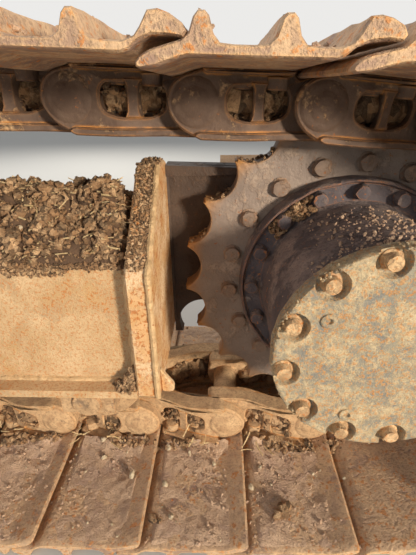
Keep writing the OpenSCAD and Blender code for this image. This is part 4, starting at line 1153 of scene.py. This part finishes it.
# ---- mud on the lower run's shoes ----
onGround = pins[:, 1] < chainPlan["tip"] + 0.001
lower = np.flatnonzero(onGround & np.roll(onGround, -1))
mud = {"from": 0.053, "to": 0.222, "inner": 0.124, "outer": 0.3465, "below": 0.0022}
inner = shoeOutline[shoe["under"]:]
inner = inner[inner[:, 0].argsort()].T


def shoeTop(a):
    # Height of a lower shoe's upper side, a millimetre down, at the distance a behind its pin.
    return pins[lower][:, 1].mean() - np.interp(a, *inner) - 0.001


def mudDepth(x, y, a):
    # Thickness of the mud: thin and patchy on the shoe, thicker beside the links, none where a shoe's edge moves.
    p = onFloor(x, y)
    n, fine, broad = cloudNoise(p, 0.045, 3, 110), cloudNoise(p, 0.012, 3, 111), latticeNoise(p, 0.16, 112)
    near = np.exp(-np.clip(np.abs(y) - mud["inner"], 0, None) / 0.020)
    mask = np.clip((a - mud["from"] - 0.001) / 0.006, 0, 1) * np.clip((mud["to"] - 0.0005 - a) / 0.035, 0, 1)
    edge = np.clip((mud["outer"] - np.abs(y)) / 0.008, 0, 1)
    thick = 0.0040 + 0.0022 * n + 0.0016 * broad + 0.0014 * fine + near * (0.012 + 0.010 * n)
    return mask * edge * np.clip(thick, 0, 0.03) - mud["below"]


def makeMud(m, side):
    rows, cols = 40, 56
    a, y = np.meshgrid(np.linspace(m["from"], m["to"], rows), side * np.linspace(m["inner"], m["outer"], cols),
                       indexing="ij")
    x, y = np.broadcast_arrays(pins[lower][:, None, None, 0] + a, y)
    top = np.stack([x, y, shoeTop(a) + mudDepth(x, y, a)], -1)
    low = top[:, :, [-1, 0]].copy()
    low[..., 2] = shoeTop(a)[:, [-1, 0]] - 0.004
    return np.concatenate([top, low], 2).reshape(len(lower), -1, 3), gridFaces(rows, cols + 2, closeN=True, capM=True)


makePiece("shoeMudSheets", [makeMud(mud, s) for s in (-1, 1)], "shoeMud", autoAngle=60)


def lowerFloor(x, y):
    # Height of the mud's top at any place of the lower run.
    a = x[..., None] - pins[lower][:, 0]
    a = np.where((a >= 0.033) & (a < 0.223), a, 9).min(-1)
    a = np.where(a > 1, 0.1, a)
    return shoeTop(a) + np.maximum(mudDepth(x, y, a), 0.001)


for name, n, xr, yr, seed, sizes, keep, power in (
        ("shoeCrumbsNear", 1500, (0.86, 1.74), (-0.342, -0.128), 120, (0.0010, 0.0044), -0.15, 3.0),
        ("shoeCrumbsFar", 1500, (-1.55, 0.86), (-0.342, -0.128), 122, (0.0015, 0.006), -0.1, 2.2),
        ("shoeCrumbsInboard", 2000, (-1.55, 1.62), (0.128, 0.342), 124, (0.0015, 0.006), -0.1, 2.2)):
    dusting(name, n, xr, yr, lowerFloor, seed, sizes, keep, power, "shoeMud")
dusting("linkClods", 900, (0.6, 1.66), (-0.146, -0.119), lowerFloor, 126, (0.003, 0.0095), -0.5, 1.6)
places, size = scatter(30, (0.9, 1.6), (-0.335, -0.135), lowerFloor, 128, (0.0018, 0.0040), 1.6)
stoneAt.append(places + [0, 0, 0.001])
stoneSize.append(size)
# the larger stones and clods lie where the photo has them: x, y, size
lying = np.array([
    (1.124, -0.1335, 0.0070), (1.206, -0.215, 0.0095), (1.034, -0.187, 0.0070), (1.273, -0.145, 0.0085),
    (1.320, -0.1575, 0.0065), (1.374, -0.181, 0.0065), (1.276, -0.231, 0.0080), (1.296, -0.295, 0.0075),
    (1.471, -0.188, 0.0060), (1.449, -0.233, 0.0085), (1.677, -0.252, 0.0066), (1.640, -0.209, 0.0060),
    (1.137, -0.173, 0.0075), (1.580, -0.199, 0.0040),
])
fallen = np.array([(1.262, -0.299, 0.0120), (1.274, -0.304, 0.0070), (1.506, -0.280, 0.0160), (1.493, -0.289, 0.0110),
                   (1.517, -0.268, 0.0090)])


def restOnMud(rows, share):
    # Places for rows of (x, y, size), raised from the mud by a share of their size.
    x, y, size = rows.T
    return np.stack([x, y, lowerFloor(x, y) + share * size], 1)


stoneAt.append(restOnMud(lying, 0.55))
stoneSize.append(lying[:, 2])
clods("fallenClods", [lumps(restOnMud(fallen, 0.3), fallen[:, 2], 129, 0.16, 0.6, 6, 12)], autoAngle=30)

# clods packed in the links' windows, and crumbs on the upper run
r = np.random.default_rng(130)
packed, packedSize = [], []
for k in every:
    for s in (-1, 1):
        # clods in a window, how far out they reach, and how much they gather towards its shoe's side
        if k in lower:
            n, out, gather = 84, 0.013, 1.3
        else:
            n, out, gather = (54, 0.003, 0.9) if r.uniform() < 0.8 else (30, -0.016, 0.9)
        a, b = r.uniform(0.046, 0.143, n), 0.031 - 0.056 * r.uniform(0, 1, n) ** gather
        packed.append(atLinks(np.full(n, k), a, b, acrossLink(link, s, a, r.uniform(-0.028, out, n))))
        packedSize.append(0.0035 + 0.0065 * r.uniform(0, 1, n) ** 1.3)
k, a, side = everyMix(every, np.arange(0.058, 0.14, 0.018), (-1, 1))
deep = np.where(np.isin(k, lower), -0.015, -0.026)
mass = atLinks(k, a, 0.003 + 0 * a, acrossLink(link, side, a, deep))
size = np.random.default_rng(135).uniform(0.021, 0.026, len(a))
clods("windowMasses", [lumps(mass, size, 136, 0.10, 1.0, 5, 10)], autoAngle=30)
clods("windowClods", [lumps(np.concatenate(packed), np.concatenate(packedSize), 131)])
upper = np.flatnonzero(ahead[:, 0] < -0.97)
n = 2600
k, a = upper[r.integers(0, len(upper), n)], r.uniform(0.036, 0.19, n)
b = np.interp(a, *shoeOutline[:shoe["under"]].T)
size = 0.0013 + 0.0048 * r.uniform(0, 1, n) ** 2.3
b = np.minimum(b - 0.0012, 0.079)
topCrumbs = atLinks(k, a, b + size * 0.2, r.uniform(-0.345, 0.345, n))
clods("upperCrumbs", [lumps(topCrumbs, size, 132)], "shoeMud")
n = 50
k = lower[r.integers(len(lower) - 7, len(lower), n)]
strawAt.append(atLinks(k, r.uniform(0.04, 0.15, n), 0.030 + 0 * k, -r.uniform(0.10, 0.16, n)) + [0, 0, 0.006])
strawTurn.append(r.uniform(0, np.pi, n))
makePiece("strawBits", [straws(np.concatenate(strawAt), np.concatenate(strawTurn), 133)], "dryStraw")
clods("paleStones", [lumps(np.concatenate(stoneAt), np.concatenate(stoneSize), 134, 0.12, 0.6, 4, 8)], "paleStone")
print("stage: soil on the track")

# ---- light, floor and camera ----
makeCamera(cameraView)
areaLight("keyLight", (4.91, -4.16, 1.52), (1.3, -0.15, 0.4), 0.75, 48, (1.0, 0.92, 0.80), 64)
areaLight("fillLight", (-1.8, -3.4, 2.8), (0.8, 0, 0.4), 2.6, 46, (0.86, 0.92, 1.0))
areaLight("backLight", (0.0, 3.6, 2.8), (0, 0, 0.4), 3.0, 110, (1.0, 0.98, 0.95))
world = bpy.data.worlds.new("studio")
bpy.context.scene.world = world
world.use_nodes = True
sky = world.node_tree
sky.nodes.clear()
# the backdrop shows pale to the camera and in reflections, and lights the object more softly
seen = node(sky, "ShaderNodeLightPath")
pale = node(sky, "ShaderNodeBackground", {"Color": (0.93, 0.92, 0.90, 1), "Strength": 0.9})
glow = node(sky, "ShaderNodeBackground", {"Color": (0.84, 0.90, 1.0, 1), "Strength": 0.36})
share = maths(sky, "MAXIMUM", seen.outputs["Is Camera Ray"], seen.outputs["Is Glossy Ray"])
mix = node(sky, "ShaderNodeMixShader", None, _0=share, _1=glow.outputs[0], _2=pale.outputs[0])
node(sky, "ShaderNodeOutputWorld", None, Surface=mix.outputs[0])
floorMesh = bpy.data.meshes.new("studioFloor")
floorMesh.from_pydata([(-12, -12, 0), (12, -12, 0), (12, 12, 0), (-12, 12, 0)], [], [(0, 1, 2, 3)])
floor = bpy.data.objects.new("studioFloor", floorMesh)
bpy.context.collection.objects.link(floor)
paint = bpy.data.materials.new("paleFloor")
paint.use_nodes = True
inputs = paint.node_tree.nodes["Principled BSDF"].inputs
inputs["Base Color"].default_value = linear("#CFCBC2")
inputs["Roughness"].default_value = 0.9
floorMesh.materials.append(paint)
bpy.context.scene.view_settings.view_transform = "Standard"
